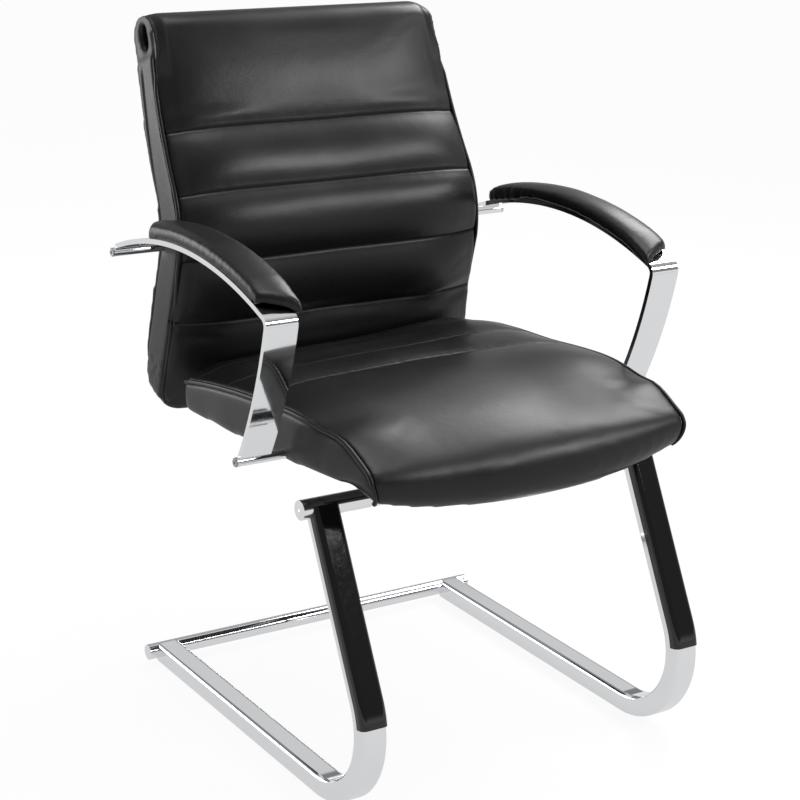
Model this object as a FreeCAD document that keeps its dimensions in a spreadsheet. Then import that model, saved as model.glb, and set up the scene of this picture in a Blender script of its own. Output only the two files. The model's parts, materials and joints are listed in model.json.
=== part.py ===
import FreeCAD, Part
import math
import os
from collections import namedtuple

import Sketcher
from FreeCAD import Placement, Rotation, Vector

# Cantilever visitor chair: chrome flat-tube base, ribbon arms, upholstered seat and back.
# Millimetres and degrees, +Z up. The sitter faces -Y, and the origin is on the floor
# under the middle of the chair. The right hand of the frame is +X.

doc = FreeCAD.newDocument("CantileverChair")

# Driving dimensions
SIZES = [
    # Base of bent flat tube
    ("side_spacing", 480.0),
    ("rear_tube_y", 217.6),
    ("tube_width", 34.0),
    ("tube_depth", 28.0),
    ("tube_corner", 6.0),
    ("tube_wall", 2.0),
    ("runner_length", 446.0),
    ("runner_setback", 3.0),
    ("bend_radius", 100.0),
    ("leg_lean", 28.0),
    ("front_tube_height", 375.0),
    ("front_tube_diameter", 25.0),
    ("rear_tube_diameter", 22.0),
    ("cross_tube_wall", 2.0),
    ("tube_overhang", 10.5),
    ("cap_flange", 2.5),
    ("cap_dome", 1.5),
    ("cap_plug", 16.0),
    ("cover_wall", 1.6),
    ("cover_lap", 13.0),
    ("cover_wrap", 17.0),
    ("glide_height", 2.0),
    ("glide_diameter", 22.0),
    ("glide_stem", 8.0),
    ("glide_stem_length", 9.0),
    ("glide_inset", 45.0),
    # Seat board and what carries it
    ("seat_rise", 56.0),
    ("seat_tilt", 3.5),
    ("carrier_spacing", 220.0),
    ("carrier_width", 40.0),
    ("carrier_gauge", 2.5),
    ("carrier_nose", 26.0),
    ("carrier_length", 215.0),
    ("carrier_rear_depth", 24.0),
    ("carrier_bolt_front", 30.0),
    ("carrier_bolt_rear", 180.0),
    ("board_thickness", 15.0),
    ("board_front", 60.0),
    ("board_rear", 345.0),
    ("board_width", 446.0),
    ("board_corner", 40.0),
    ("board_side_wall", 5.0),
    # Seat upholstery
    ("seat_width", 484.0),
    ("seat_rear", 362.0),
    ("skirt_depth", 18.0),
    ("seat_apex", 94.0),
    ("seat_side_height", 49.0),
    ("seat_top_radius", 1600.0),
    ("seat_crown", 16.0),
    ("seat_nose_forward", 75.0),
    ("seat_nose_drop", 12.0),
    ("seat_nose_radius", 25.0),
    ("seat_nose_swell", 20.0),
    ("seat_seam_first", 153.0),
    ("seat_rib_pitch", 92.0),
    ("seat_rib_bulge", 4.0),
    ("panel_gauge", 2.0),
    ("piping_diameter", 5.5),
    # Rods and arms
    ("rod_diameter", 12.0),
    ("rod_overhang", 3.0),
    ("seat_rod_back", 79.5),
    ("back_rod_lean", -3.0),
    ("rod_screw_head", 2.5),
    ("rod_screw_shank", 6.0),
    ("rod_screw_length", 18.0),
    ("rod_screw_spare", 2.0),
    ("arm_spacing", 575.0),
    ("ribbon_width", 43.0),
    ("ribbon_thickness", 6.5),
    ("ribbon_weld_sink", 1.5),
    ("arm_reach", 413.0),
    ("arm_corner_rise", 9.0),
    ("arm_crown", 39.0),
    ("arm_belly", 8.0),
    ("arm_bend_radius", 16.0),
    ("pad_base_width", 40.0),
    ("pad_base_thickness", 4.5),
    ("pad_base_inset", 8.0),
    ("pad_width", 53.0),
    ("pad_thickness", 13.0),
    ("pad_side_height", 8.5),
    ("pad_front_gap", 12.0),
    ("pad_length", 324.0),
    ("pad_rear_slant", 29.0),
    ("pad_front_slant", 11.0),
    ("pad_offset", 5.0),
    ("pad_screw_inset", 60.0),
    ("pad_screw_diameter", 5.0),
    # Back
    ("back_setback", 51.0),
    ("back_drop", 23.0),
    ("back_lower_lean", -11.2),
    ("back_lower_length", 200.0),
    ("lumbar_radius", 150.0),
    ("back_upper_lean", 33.0),
    ("back_upper_radius", 700.0),
    ("back_top_lean", 18.5),
    ("back_bottom_width", 490.0),
    ("back_top_width", 442.0),
    ("back_edge_depth", 32.0),
    ("back_board_thickness", 11.0),
    ("back_board_width", 400.0),
    ("back_board_foot", 12.0),
    ("rear_pad_depth", 21.0),
    ("rear_pad_top_depth", 8.0),
    ("rear_pad_crown", 8.0),
    ("rear_pad_foot", 75.0),
    ("back_foot_depth", 22.0),
    ("back_seam_first", 123.3),
    ("back_rib_pitch", 88.3),
    ("back_rib_bulge", 9.0),
    ("back_crown", 12.0),
    ("roll_height", 62.0),
    ("roll_overhang", 7.0),
    ("roll_hole_depth", 18.0),
    ("roll_hole_height", 38.0),
    # Brackets, saddles and fasteners
    ("bracket_spacing", 220.0),
    ("bracket_width", 40.0),
    ("bracket_gauge", 5.0),
    ("bracket_bend", 8.0),
    ("bracket_seat_lap", 120.0),
    ("bracket_back_lap", 110.0),
    ("screw_diameter", 5.0),
    ("screw_head_diameter", 10.0),
    ("screw_head_height", 3.0),
    ("screw_bite", 9.0),
    ("saddle_spacing", 300.0),
    ("saddle_width", 25.0),
    ("saddle_gauge", 2.0),
    ("saddle_reach", 16.0),
    ("bolt_diameter", 6.0),
    ("bolt_head_diameter", 10.0),
    ("bolt_head_height", 4.0),
    ("washer_diameter", 16.0),
    ("washer_gauge", 1.5),
    ("tee_nut_diameter", 20.0),
    ("tee_nut_gauge", 1.5),
    ("tee_nut_barrel", 8.5),
    ("tee_nut_depth", 10.0),
    # Fits
    ("soft_gap", 0.3),
    ("hole_gap", 0.2),
]

sheet = doc.addObject("Spreadsheet::Sheet", "Sizes")
for row, (alias, value) in enumerate(SIZES, start=1):
    sheet.set("A%d" % row, alias)
    sheet.set("B%d" % row, str(value))
    sheet.setAlias("B%d" % row, alias)
doc.recompute()


def size(alias):
    """Value of one named cell."""
    return float(sheet.get(alias))


def cell(alias):
    """The same cell as an expression."""
    return "Sizes.%s" % alias


# Plane geometry: a point is a (y, z) pair, a line is two points, an arc is three


def shift(point, direction, distance):
    """Point moved along a unit direction."""
    return (point[0] + direction[0] * distance, point[1] + direction[1] * distance)


def along(lean):
    """Upward direction of a line that leans back by the given angle."""
    return (math.sin(math.radians(lean)), math.cos(math.radians(lean)))


def behind(lean):
    """Rearward normal of a line that leans back by the given angle."""
    return (math.cos(math.radians(lean)), -math.sin(math.radians(lean)))


def unit(start, end):
    """Unit direction from one point to another."""
    length = math.hypot(end[0] - start[0], end[1] - start[1])
    return ((end[0] - start[0]) / length, (end[1] - start[1]) / length)


def crossing(point_a, direction_a, point_b, direction_b):
    """Where two lines cross."""
    det = direction_a[0] * direction_b[1] - direction_a[1] * direction_b[0]
    gap = (point_b[0] - point_a[0], point_b[1] - point_a[1])
    travel = (gap[0] * direction_b[1] - gap[1] * direction_b[0]) / det
    return shift(point_a, direction_a, travel)


def arc_round(centre, start, end):
    """The shorter arc about a centre, as three points."""
    radius = math.hypot(start[0] - centre[0], start[1] - centre[1])
    halfway = ((start[0] + end[0]) / 2, (start[1] + end[1]) / 2)
    return (start, shift(centre, unit(centre, halfway), radius), end)


def bulged_centre(start, end, rise, side):
    """Centre and radius of the arc that rises from a chord towards a side direction."""
    chord = math.hypot(end[0] - start[0], end[1] - start[1])
    radius = chord * chord / (8 * rise) + rise / 2
    halfway = ((start[0] + end[0]) / 2, (start[1] + end[1]) / 2)
    return shift(halfway, side, rise - radius), radius


def polygon(points):
    """Closed outline of straight lines."""
    return [(points[i], points[(i + 1) % len(points)]) for i in range(len(points))]


def rounded_rectangle(width, height, radius):
    """Closed outline of a rectangle about the origin with round corners."""
    far_y, far_z = width / 2, height / 2
    outline = []
    for sign_y, sign_z, upright in ((1, -1, False), (1, 1, True), (-1, 1, False), (-1, -1, True)):
        centre = (sign_y * (far_y - radius), sign_z * (far_z - radius))
        first = (centre[0], centre[1] + sign_z * radius)
        second = (centre[0] + sign_y * radius, centre[1])
        if upright:
            first, second = second, first
        outline.append(arc_round(centre, first, second))
    joined = []
    for i, corner in enumerate(outline):
        joined.append(corner)
        joined.append((corner[2], outline[(i + 1) % 4][0]))
    return joined


# Document helpers


def origin_plane(body, role):
    """One of a body's own origin planes."""
    return [feature for feature in body.Origin.OriginFeatures if feature.Role == role][0]


def new_body(label):
    """Empty body with the sub-part's name."""
    body = doc.addObject("PartDesign::Body", label)
    body.Label = label
    return body


def new_sketch(body, role, name, *outlines):
    """Sketch on an origin plane, holding closed outlines."""
    sketch = body.newObject("Sketcher::SketchObject", name)
    sketch.AttachmentSupport = [(origin_plane(body, role), "")]
    sketch.MapMode = "FlatFace"
    for outline in outlines:
        for edge in outline:
            points = [Vector(point[0], point[1], 0) for point in edge]
            sketch.addGeometry(Part.Arc(*points) if len(points) == 3 else Part.LineSegment(*points))
    return sketch


def add_circle(sketch, centre, expression):
    """Circle whose diameter follows an expression."""
    index = sketch.addGeometry(Part.Circle(Vector(centre[0], centre[1], 0), Vector(0, 0, 1), 1.0))
    if centre == (0, 0):
        sketch.addConstraint(Sketcher.Constraint("Coincident", index, 3, -1, 1))
    else:
        sketch.addConstraint(Sketcher.Constraint("DistanceX", -1, 1, index, 3, centre[0]))
        sketch.addConstraint(Sketcher.Constraint("DistanceY", -1, 1, index, 3, centre[1]))
    rule = sketch.addConstraint(Sketcher.Constraint("Diameter", index, 2.0))
    sketch.setExpression("Constraints[%d]" % rule, expression)


def add_pad(body, sketch, expression, midplane=True):
    """Pad whose length follows an expression."""
    feature = body.newObject("PartDesign::Pad", sketch.Name + "_pad")
    feature.Profile = sketch
    feature.setExpression("Length", expression)
    feature.Midplane = midplane
    return feature


def add_pocket(body, sketch, expression=None, midplane=True, upward=False):
    """Pocket of a bound length, or through everything."""
    feature = body.newObject("PartDesign::Pocket", sketch.Name + "_pocket")
    feature.Profile = sketch
    if expression:
        feature.setExpression("Length", expression)
    else:
        feature.Type = 1
    feature.Midplane = midplane
    feature.Reversed = upward
    return feature


def turned(label, outline):
    """Body turned about its Z axis from a (radius, height) outline."""
    body = new_body(label)
    sketch = new_sketch(body, "XZ_Plane", label + "_half", outline)
    feature = body.newObject("PartDesign::Revolution", label + "_turn")
    feature.Profile = sketch
    feature.ReferenceAxis = (sketch, ["V_Axis"])
    feature.Angle = 360.0
    return body


def mirrored(label, source):
    """Left-hand twin of a right-hand piece."""
    twin = doc.addObject("Part::Mirroring", label)
    twin.Label = label
    twin.Source = source
    twin.Normal = Vector(1, 0, 0)
    return twin


def solid_feature(label, shape, placement=None):
    """Piece whose shape is worked out here."""
    feature = doc.addObject("Part::Feature", label)
    feature.Label = label
    feature.Shape = shape
    if placement:
        feature.Placement = placement
    return feature


def group(label, source, placements):
    """Separate copies of one small piece under one name."""
    doc.recompute()
    base = source.Shape.Solids[0]
    copies = [base.transformed(place.toMatrix()) for place in placements]
    return solid_feature(label, Part.makeCompound(copies))


def wire_in(outline, place):
    """Closed wire from an outline, each point put in space by a function."""
    edges = []
    for edge in outline:
        points = [place(point) for point in edge]
        curve = Part.Arc(*points) if len(points) == 3 else Part.LineSegment(*points)
        edges.append(curve.toShape())
    return Part.Wire(edges)


def rod_along_x(radius, length, point):
    """Cylinder along X about a (y, z) point, centred on the middle of the chair."""
    return Part.makeCylinder(radius, length, Vector(-length / 2, point[0], point[1]), Vector(1, 0, 0))


def facing(position, direction):
    """Placement that turns the local Z axis to a direction."""
    return Placement(Vector(*position), Rotation(Vector(0, 0, 1), Vector(*direction)))


NODES = []


def keep(*pieces):
    """Add finished pieces to those that are written out."""
    NODES.extend(pieces)


SIDES = (1, -1)

# Base: where the bent side tube runs
tube_depth = size("tube_depth")
tube_width = size("tube_width")
side_x = size("side_spacing") / 2
lean = size("leg_lean")
bend_radius = size("bend_radius")
runner_z = size("glide_height") + tube_depth / 2
runner_top = size("glide_height") + tube_depth
rear_point = (size("rear_tube_y"), runner_top - size("rear_tube_diameter") / 2)
bend_centre = (rear_point[0] - size("runner_length"), runner_z + bend_radius)
leg_foot = shift(bend_centre, behind(lean), -bend_radius)
leg_length = (size("front_tube_height") - leg_foot[1]) / math.cos(math.radians(lean))
front_point = shift(leg_foot, along(lean), leg_length)


def build_side_frame():
    """Bent flat tube: floor runner, big front bend and leaning leg, coped to both cross tubes."""
    body = new_body("side_frame_right")
    start = (rear_point[0] - size("runner_setback"), runner_z)

    def local(point):
        return (point[0] - start[0], point[1] - start[1])

    bend_start = local((bend_centre[0], runner_z))
    path = new_sketch(body, "YZ_Plane", "side_path", [
        (local(start), bend_start),
        arc_round(local(bend_centre), bend_start, local(leg_foot)),
        (local(leg_foot), local(front_point)),
    ])
    wall = size("tube_wall")
    corner = size("tube_corner")
    profile = new_sketch(
        body, "XZ_Plane", "side_section",
        rounded_rectangle(tube_width, tube_depth, corner),
        rounded_rectangle(tube_width - 2 * wall, tube_depth - 2 * wall, corner - wall))
    doc.recompute()
    pipe = body.newObject("PartDesign::AdditivePipe", "side_tube")
    pipe.Profile = profile
    pipe.Spine = path
    copes = new_sketch(body, "YZ_Plane", "side_copes")
    add_circle(copes, local(rear_point), cell("rear_tube_diameter"))
    add_circle(copes, local(front_point), cell("front_tube_diameter"))
    add_pocket(body, copes)
    holes = new_sketch(body, "XY_Plane", "glide_holes")
    for glide_y in glide_places():
        add_circle(holes, (0.001, glide_y - start[0]), "%s + %s" % (cell("glide_stem"), cell("hole_gap")))
    add_pocket(body, holes, cell("tube_depth"), midplane=False)
    body.Placement = Placement(Vector(side_x, start[0], start[1]), Rotation())
    body.setExpression("Placement.Base.x", cell("side_spacing") + " / 2")
    keep(body, mirrored("side_frame_left", body))


def glide_places():
    """The two glides' places along a runner."""
    inset = size("glide_inset")
    return (rear_point[0] - inset, bend_centre[0] + inset)


def build_glides():
    """Plastic floor glides: a round foot with a stem pressed up into the runner."""
    foot = size("glide_diameter") / 2
    stem = size("glide_stem") / 2
    height = size("glide_height")
    edge = height / 3
    glide = turned("glide", polygon([
        (0, 0), (foot - edge, 0), (foot, edge), (foot, height), (stem, height),
        (stem, height + size("glide_stem_length")), (0, height + size("glide_stem_length"))]))
    places = [Placement(Vector(side * side_x, y, 0), Rotation()) for side in SIDES for y in glide_places()]
    keep(group("floor_glides", glide, places))


def build_cross_tube(label, diameter, point, cap_label):
    """Round tube across the chair with a domed cap in each end."""
    body = new_body(label)
    section = new_sketch(body, "YZ_Plane", label + "_section")
    add_circle(section, (0, 0), cell(diameter))
    add_circle(section, (0, 0), "%s - 2 * %s" % (cell(diameter), cell("cross_tube_wall")))
    add_pad(body, section, "%s + %s + 2 * %s" % (
        cell("side_spacing"), cell("tube_width"), cell("tube_overhang")))
    body.Placement = Placement(Vector(0, point[0], point[1]), Rotation())
    rim = size(diameter) / 2
    plug = rim - size("cross_tube_wall") - size("hole_gap") / 2
    flange, dome = size("cap_flange"), size("cap_dome")
    crown = (0, flange + dome)
    centre, _ = bulged_centre((-rim, flange), (rim, flange), dome, (0, 1))
    cap = turned(cap_label + "_turned", [
        ((0, -size("cap_plug")), (plug, -size("cap_plug"))),
        ((plug, -size("cap_plug")), (plug, 0)),
        ((plug, 0), (rim, 0)),
        ((rim, 0), (rim, flange)),
        arc_round(centre, (rim, flange), crown),
        (crown, (0, -size("cap_plug"))),
    ])
    end_x = (size("side_spacing") + tube_width) / 2 + size("tube_overhang")
    places = [facing((side * end_x, point[0], point[1]), (side, 0, 0)) for side in SIDES]
    keep(body, group(cap_label, cap, places))


def build_leg_cover():
    """Gloss cover clipped on the front of a leg, open to the rear like a channel."""
    wall = size("cover_wall") + size("hole_gap") / 2
    gap = size("hole_gap") / 2
    front = tube_depth / 2
    half = tube_width / 2
    rear = size("cover_lap") - front
    corner = size("tube_corner")

    def side_line(outset, sign):
        """Side, corner and front of one half of the channel at a distance from the tube."""
        centre = (sign * (half - corner), -(front - corner))
        side_end = (sign * (half + outset), -(front - corner))
        front_end = (sign * (half - corner), -(front + outset))
        return (sign * (half + outset), rear), side_end, arc_round(centre, side_end, front_end), front_end

    outline = []
    lip, side_end, corner_arc, front_end = side_line(wall, 1)
    left_lip, left_side, left_arc, left_front = side_line(wall, -1)
    outline += [(lip, side_end), corner_arc, (front_end, left_front), left_arc[::-1], (left_side, left_lip)]
    inner_lip, inner_side, inner_arc, inner_front = side_line(gap, -1)
    outline += [(left_lip, inner_lip), (inner_lip, inner_side), inner_arc]
    right_lip, right_side, right_arc, right_front = side_line(gap, 1)
    outline += [(inner_front, right_front), right_arc[::-1], (right_side, right_lip), (right_lip, lip)]
    body = new_body("leg_cover_blank")
    section = new_sketch(body, "XY_Plane", "cover_section", outline)
    wrap = math.radians(size("cover_wrap"))
    turn_start = (0, -leg_length)
    turn_end = (bend_radius * (1 - math.cos(wrap)), -leg_length - bend_radius * math.sin(wrap))
    path = new_sketch(body, "YZ_Plane", "cover_path", [
        ((0, 0), turn_start), arc_round((bend_radius, -leg_length), turn_start, turn_end)])
    doc.recompute()
    pipe = body.newObject("PartDesign::AdditivePipe", "cover_channel")
    pipe.Profile = section
    pipe.Spine = path
    turn = Rotation(Vector(1, 0, 0), -lean)
    body.Placement = Placement(Vector(side_x, front_point[0], front_point[1]), turn)
    bore = doc.addObject("Part::Cylinder", "cover_cope_tool")
    bore.setExpression("Radius", "%s / 2 + %s" % (cell("front_tube_diameter"), cell("hole_gap")))
    bore.setExpression("Height", "%s * 3" % cell("tube_width"))
    reach = 1.5 * tube_width
    bore.Placement = facing((side_x - reach, front_point[0], front_point[1]), (1, 0, 0))
    cover = doc.addObject("Part::Cut", "leg_cover_right")
    cover.Label = "leg_cover_right"
    cover.Base = body
    cover.Tool = bore
    keep(cover, mirrored("leg_cover_left", cover))


# Seat frame: local Y runs to the rear along the underside of the seat board, local Z is square to it
seat_tilt = size("seat_tilt")
seat_up = (math.sin(math.radians(seat_tilt)), math.cos(math.radians(seat_tilt)))
seat_back = (math.cos(math.radians(seat_tilt)), -math.sin(math.radians(seat_tilt)))
seat_origin = shift(front_point, seat_up, size("seat_rise"))
SEAT = Placement(Vector(0, seat_origin[0], seat_origin[1]), Rotation(Vector(1, 0, 0), -seat_tilt))
rod_radius = size("rod_diameter") / 2
seat_rod_local = (size("seat_rod_back"), -(size("carrier_gauge") + rod_radius + size("hole_gap")))


def in_room(local):
    """Seat-frame point as a point of the chair."""
    return shift(shift(seat_origin, seat_back, local[0]), seat_up, local[1])


def seat_place(x, local_y, local_z):
    """Seat-frame point with its X, in space."""
    point = in_room((local_y, local_z))
    return (x, point[0], point[1])


seat_rod = in_room(seat_rod_local)
bolt_rows = (size("carrier_bolt_front"), size("carrier_bolt_rear"))
carrier_x = size("carrier_spacing") / 2
bolt_places = [(side * carrier_x, y) for side in SIDES for y in bolt_rows]


def build_carriers():
    """Pressed channels welded on the front tube, bored for the seat rod, bolted to the seat board."""
    body = new_body("seat_carrier_right")
    nose, end = size("carrier_nose"), size("carrier_length")
    rise, rear_depth = size("seat_rise"), size("carrier_rear_depth")
    gauge = size("carrier_gauge")
    side_shape = new_sketch(body, "YZ_Plane", "carrier_side", polygon([
        (-nose, 0), (-nose, -rise), (nose, -rise), (end, -rear_depth), (end, 0)]))
    add_pad(body, side_shape, cell("carrier_width"))
    inside = new_sketch(body, "YZ_Plane", "carrier_inside", polygon([
        (-2 * nose, -gauge), (-2 * nose, -2 * rise), (2 * end, -2 * rise), (2 * end, -gauge)]))
    add_pocket(body, inside, "%s - 2 * %s" % (cell("carrier_width"), cell("carrier_gauge")))
    bores = new_sketch(body, "YZ_Plane", "carrier_bores")
    add_circle(bores, (0.001, -rise), cell("front_tube_diameter"))
    add_circle(bores, seat_rod_local, "%s + %s" % (cell("rod_diameter"), cell("hole_gap")))
    add_pocket(body, bores)
    holes = new_sketch(body, "XY_Plane", "carrier_holes")
    for row in bolt_rows:
        add_circle(holes, (0.001, row), "%s + 2 * %s" % (cell("bolt_diameter"), cell("hole_gap")))
    add_pocket(body, holes, "2 * " + cell("carrier_gauge"), midplane=False)
    body.Placement = SEAT.multiply(Placement(Vector(carrier_x, 0, 0), Rotation()))
    keep(body, mirrored("seat_carrier_left", body))


# L-shaped back brackets run under the seat board and up behind the back board
bracket_x = size("bracket_spacing") / 2
back_lean = size("back_lower_lean")
back_datum = in_room((size("seat_rear") + size("back_setback"), 0))
back_foot = shift(back_datum, along(back_lean), -size("back_drop"))
board_depth = size("back_edge_depth") + size("back_board_thickness")
bracket_end = size("board_rear") - size("bracket_seat_lap")


def bracket_outline(inner_gap, outer_gap, seat_gap):
    """L outline: grown by a gap on its inner side, its outer side and its ends."""
    inner = -inner_gap
    outer = size("bracket_gauge") + outer_gap
    bend = size("bracket_bend")
    wall_point = shift(back_foot, behind(back_lean), board_depth)
    centre = crossing(shift(seat_origin, seat_up, bend), seat_back,
                      shift(wall_point, behind(back_lean), -bend), along(back_lean))
    start = in_room((bracket_end - seat_gap, 0))
    top = shift(centre, along(back_lean), size("bracket_back_lap") + seat_gap)

    def corner(depth):
        low = shift(centre, seat_up, -(bend + depth))
        high = shift(centre, behind(back_lean), bend + depth)
        return low, high

    low_in, high_in = corner(inner)
    low_out, high_out = corner(outer)
    start_in, start_out = shift(start, seat_up, -inner), shift(start, seat_up, -outer)
    top_in = shift(top, behind(back_lean), bend + inner)
    top_out = shift(top, behind(back_lean), bend + outer)
    return [
        (start_in, low_in), arc_round(centre, low_in, high_in), (high_in, top_in), (top_in, top_out),
        (top_out, high_out), arc_round(centre, high_out, low_out), (low_out, start_out),
        (start_out, start_in),
    ], centre


bracket_shape, bracket_centre = bracket_outline(0, 0, 0)
lap_share = (0.25, 0.75)
seat_screw_rows = [bracket_end + share * size("bracket_seat_lap") for share in lap_share]
seat_screw_places = [(side * bracket_x, y) for side in SIDES for y in seat_screw_rows]
screw_foot = size("back_board_foot") + size("screw_head_diameter")
back_screw_rows = [screw_foot + share * (size("bracket_back_lap") - screw_foot)
                   for share in lap_share]


def back_screw_point(row, depth):
    """Point of a bracket screw at a depth from the rear of the back board."""
    base = shift(bracket_centre, along(back_lean), row)
    return shift(base, behind(back_lean), size("bracket_bend") + depth)


def cross_bores(places, radius, length):
    """Cylinders along given axes, used as hole tools: each place is a point and a direction."""
    tools = []
    for point, direction in places:
        start = Vector(*point) - Vector(*direction) * (length / 2)
        tools.append(Part.makeCylinder(radius, length, start, Vector(*direction)))
    return tools


seat_up_space = (0, seat_up[0], seat_up[1])
back_in_space = (0, -behind(back_lean)[0], -behind(back_lean)[1])
bracket_bores = [(seat_place(x, y, 0), seat_up_space) for x, y in seat_screw_places]
bracket_bores += [((side * bracket_x,) + back_screw_point(row, 0), back_in_space)
                  for side in SIDES for row in back_screw_rows]


def build_brackets():
    """Flat steel L brackets that join the back board to the seat board, with their screws."""
    bore = size("screw_diameter") / 2 + size("hole_gap")
    tools = cross_bores(bracket_bores, bore, 4 * size("bracket_gauge"))
    blank = new_body("back_bracket_blank")
    section = new_sketch(blank, "YZ_Plane", "bracket_side", bracket_shape)
    add_pad(blank, section, cell("bracket_width"))
    blank.setExpression("Placement.Base.x", cell("bracket_spacing") + " / 2")
    drill = solid_feature("bracket_drills", Part.makeCompound(tools))
    bracket = doc.addObject("Part::Cut", "back_bracket_right")
    bracket.Label = "back_bracket_right"
    bracket.Base = blank
    bracket.Tool = drill
    keep(bracket, mirrored("back_bracket_left", bracket))
    gauge = size("bracket_gauge")
    places = [facing(seat_place(x, y, -gauge), seat_up_space) for x, y in seat_screw_places]
    places += [facing((side * bracket_x,) + back_screw_point(row, gauge), back_in_space)
               for side in SIDES for row in back_screw_rows]
    keep(group("bracket_screws", screw("bracket_screw", "screw_diameter", "screw_head_diameter",
                                       "screw_head_height", gauge + size("screw_bite")), places))


def screw(label, shank, head, head_height, length):
    """Pan-head screw along +Z: its head lies below Z 0."""
    shank_radius, head_radius, rise = size(shank) / 2, size(head) / 2, size(head_height)
    edge = rise / 3
    return turned(label, polygon([
        (0, -rise), (head_radius - edge, -rise), (head_radius, edge - rise), (head_radius, 0),
        (shank_radius, 0), (shank_radius, length - shank_radius / 2),
        (shank_radius / 2, length), (0, length)]))


def build_seat_board():
    """Plywood seat board, bored for the tee nuts and the bracket screws, and its fasteners."""
    length = size("board_front") + size("board_rear")
    middle = (size("board_rear") - size("board_front")) / 2
    body = new_body("seat_board")
    outline = rounded_rectangle(size("board_width"), length, size("board_corner"))
    moved = [tuple((point[0], point[1] + middle) for point in edge) for edge in outline]
    plan = new_sketch(body, "XY_Plane", "board_plan", moved)
    add_pad(body, plan, cell("board_thickness"), midplane=False)
    holes = new_sketch(body, "XY_Plane", "board_holes")
    for place in bolt_places:
        add_circle(holes, place, "%s + %s" % (cell("tee_nut_barrel"), cell("hole_gap")))
    for place in seat_screw_places:
        add_circle(holes, place, "%s + %s" % (cell("screw_diameter"), cell("hole_gap")))
    add_pocket(body, holes, cell("board_thickness"), midplane=False, upward=True)
    body.Placement = SEAT
    keep(body)

    gauge = size("carrier_gauge")
    washer_gauge = size("washer_gauge")
    bolt_reach = gauge + washer_gauge + size("board_thickness") - 1
    bolt = screw("carrier_bolt", "bolt_diameter", "bolt_head_diameter", "bolt_head_height", bolt_reach)
    below = -gauge - washer_gauge
    places = [facing(seat_place(x, y, below), seat_up_space) for x, y in bolt_places]
    keep(group("carrier_bolts", bolt, places))
    bore = size("bolt_diameter") / 2 + size("hole_gap")
    washer = turned("carrier_washer", polygon([
        (bore, 0), (size("washer_diameter") / 2, 0), (size("washer_diameter") / 2, washer_gauge),
        (bore, washer_gauge)]))
    keep(group("carrier_washers", washer,
               [facing(seat_place(x, y, below), seat_up_space) for x, y in bolt_places]))
    barrel = size("tee_nut_barrel") / 2
    flange = size("tee_nut_diameter") / 2
    tee_gauge, tee_depth = size("tee_nut_gauge"), size("tee_nut_depth")
    bore = size("bolt_diameter") / 2 + size("hole_gap") / 2
    nut = turned("seat_tee_nut", polygon([
        (bore, -tee_depth), (barrel, -tee_depth), (barrel, 0), (flange, 0), (flange, tee_gauge),
        (bore, tee_gauge)]))
    keep(group("seat_tee_nuts", nut,
               [facing(seat_place(x, y, size("board_thickness")), seat_up_space) for x, y in bolt_places]))


# Seat upholstery
# The cushion is never narrower than its board with a foam wall on each side.
seat_half = max(size("seat_width") / 2, size("board_width") / 2 + size("board_side_wall"))
seat_seams = [size("seat_seam_first") + i * size("seat_rib_pitch") for i in range(3)]


def seat_top(local_y, crown):
    """Height of the smooth seat top at a place along the seat, with a share of the crown."""
    radius = size("seat_top_radius")
    fall = radius - math.sqrt(radius ** 2 - (local_y - size("seat_apex")) ** 2)
    return (local_y, size("seat_side_height") + crown - fall)


SeatFront = namedtuple("SeatFront", "apex start low shoulder_middle nose_middle")


def seat_nose(crown_share, nose_share):
    """Shoulder and nose of the seat front: two arcs that run on from the top without a corner."""
    swell = nose_share * size("seat_nose_swell")
    radius = size("seat_nose_radius") + swell
    middle = (-size("seat_nose_forward") - 0.65 * swell, -size("seat_nose_drop") - 0.3 * swell)
    apex = seat_top(size("seat_apex"), crown_share * size("seat_crown"))
    reach, fall = middle[0] - apex[0], apex[1] - middle[1]
    shoulder_radius = (reach ** 2 + fall ** 2 - radius ** 2) / (2 * (fall - radius))
    shoulder_middle = (apex[0], apex[1] - shoulder_radius)
    start = shift(shoulder_middle, unit(shoulder_middle, middle), shoulder_radius)
    low = shift(middle, (-0.5, -math.sqrt(0.75)), radius)
    return SeatFront(apex, start, low, shoulder_middle, middle)


def seat_outline(crown_share, nose_share):
    """Side outline of the seat: underside, nose, smooth front and ribbed rear of the top."""
    crown = crown_share * size("seat_crown")
    bulge = crown_share * size("seat_rib_bulge")
    rear = size("seat_rear")
    floor = -size("skirt_depth")
    front = seat_nose(crown_share, nose_share)
    under = (front.low[0] + 2 * size("skirt_depth"), floor)
    outline = [((rear, floor), under), (under, front.low),
               arc_round(front.nose_middle, front.low, front.start),
               arc_round(front.shoulder_middle, front.start, front.apex)]
    stops = [size("seat_apex")] + seat_seams + [rear]
    for near, far in zip(stops, stops[1:]):
        swell = bulge if near in seat_seams else 0
        halfway = seat_top((near + far) / 2, crown + swell)
        outline.append((seat_top(near, crown), halfway, seat_top(far, crown)))
    outline.append((seat_top(rear, crown), (rear, floor)))
    return outline


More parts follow.
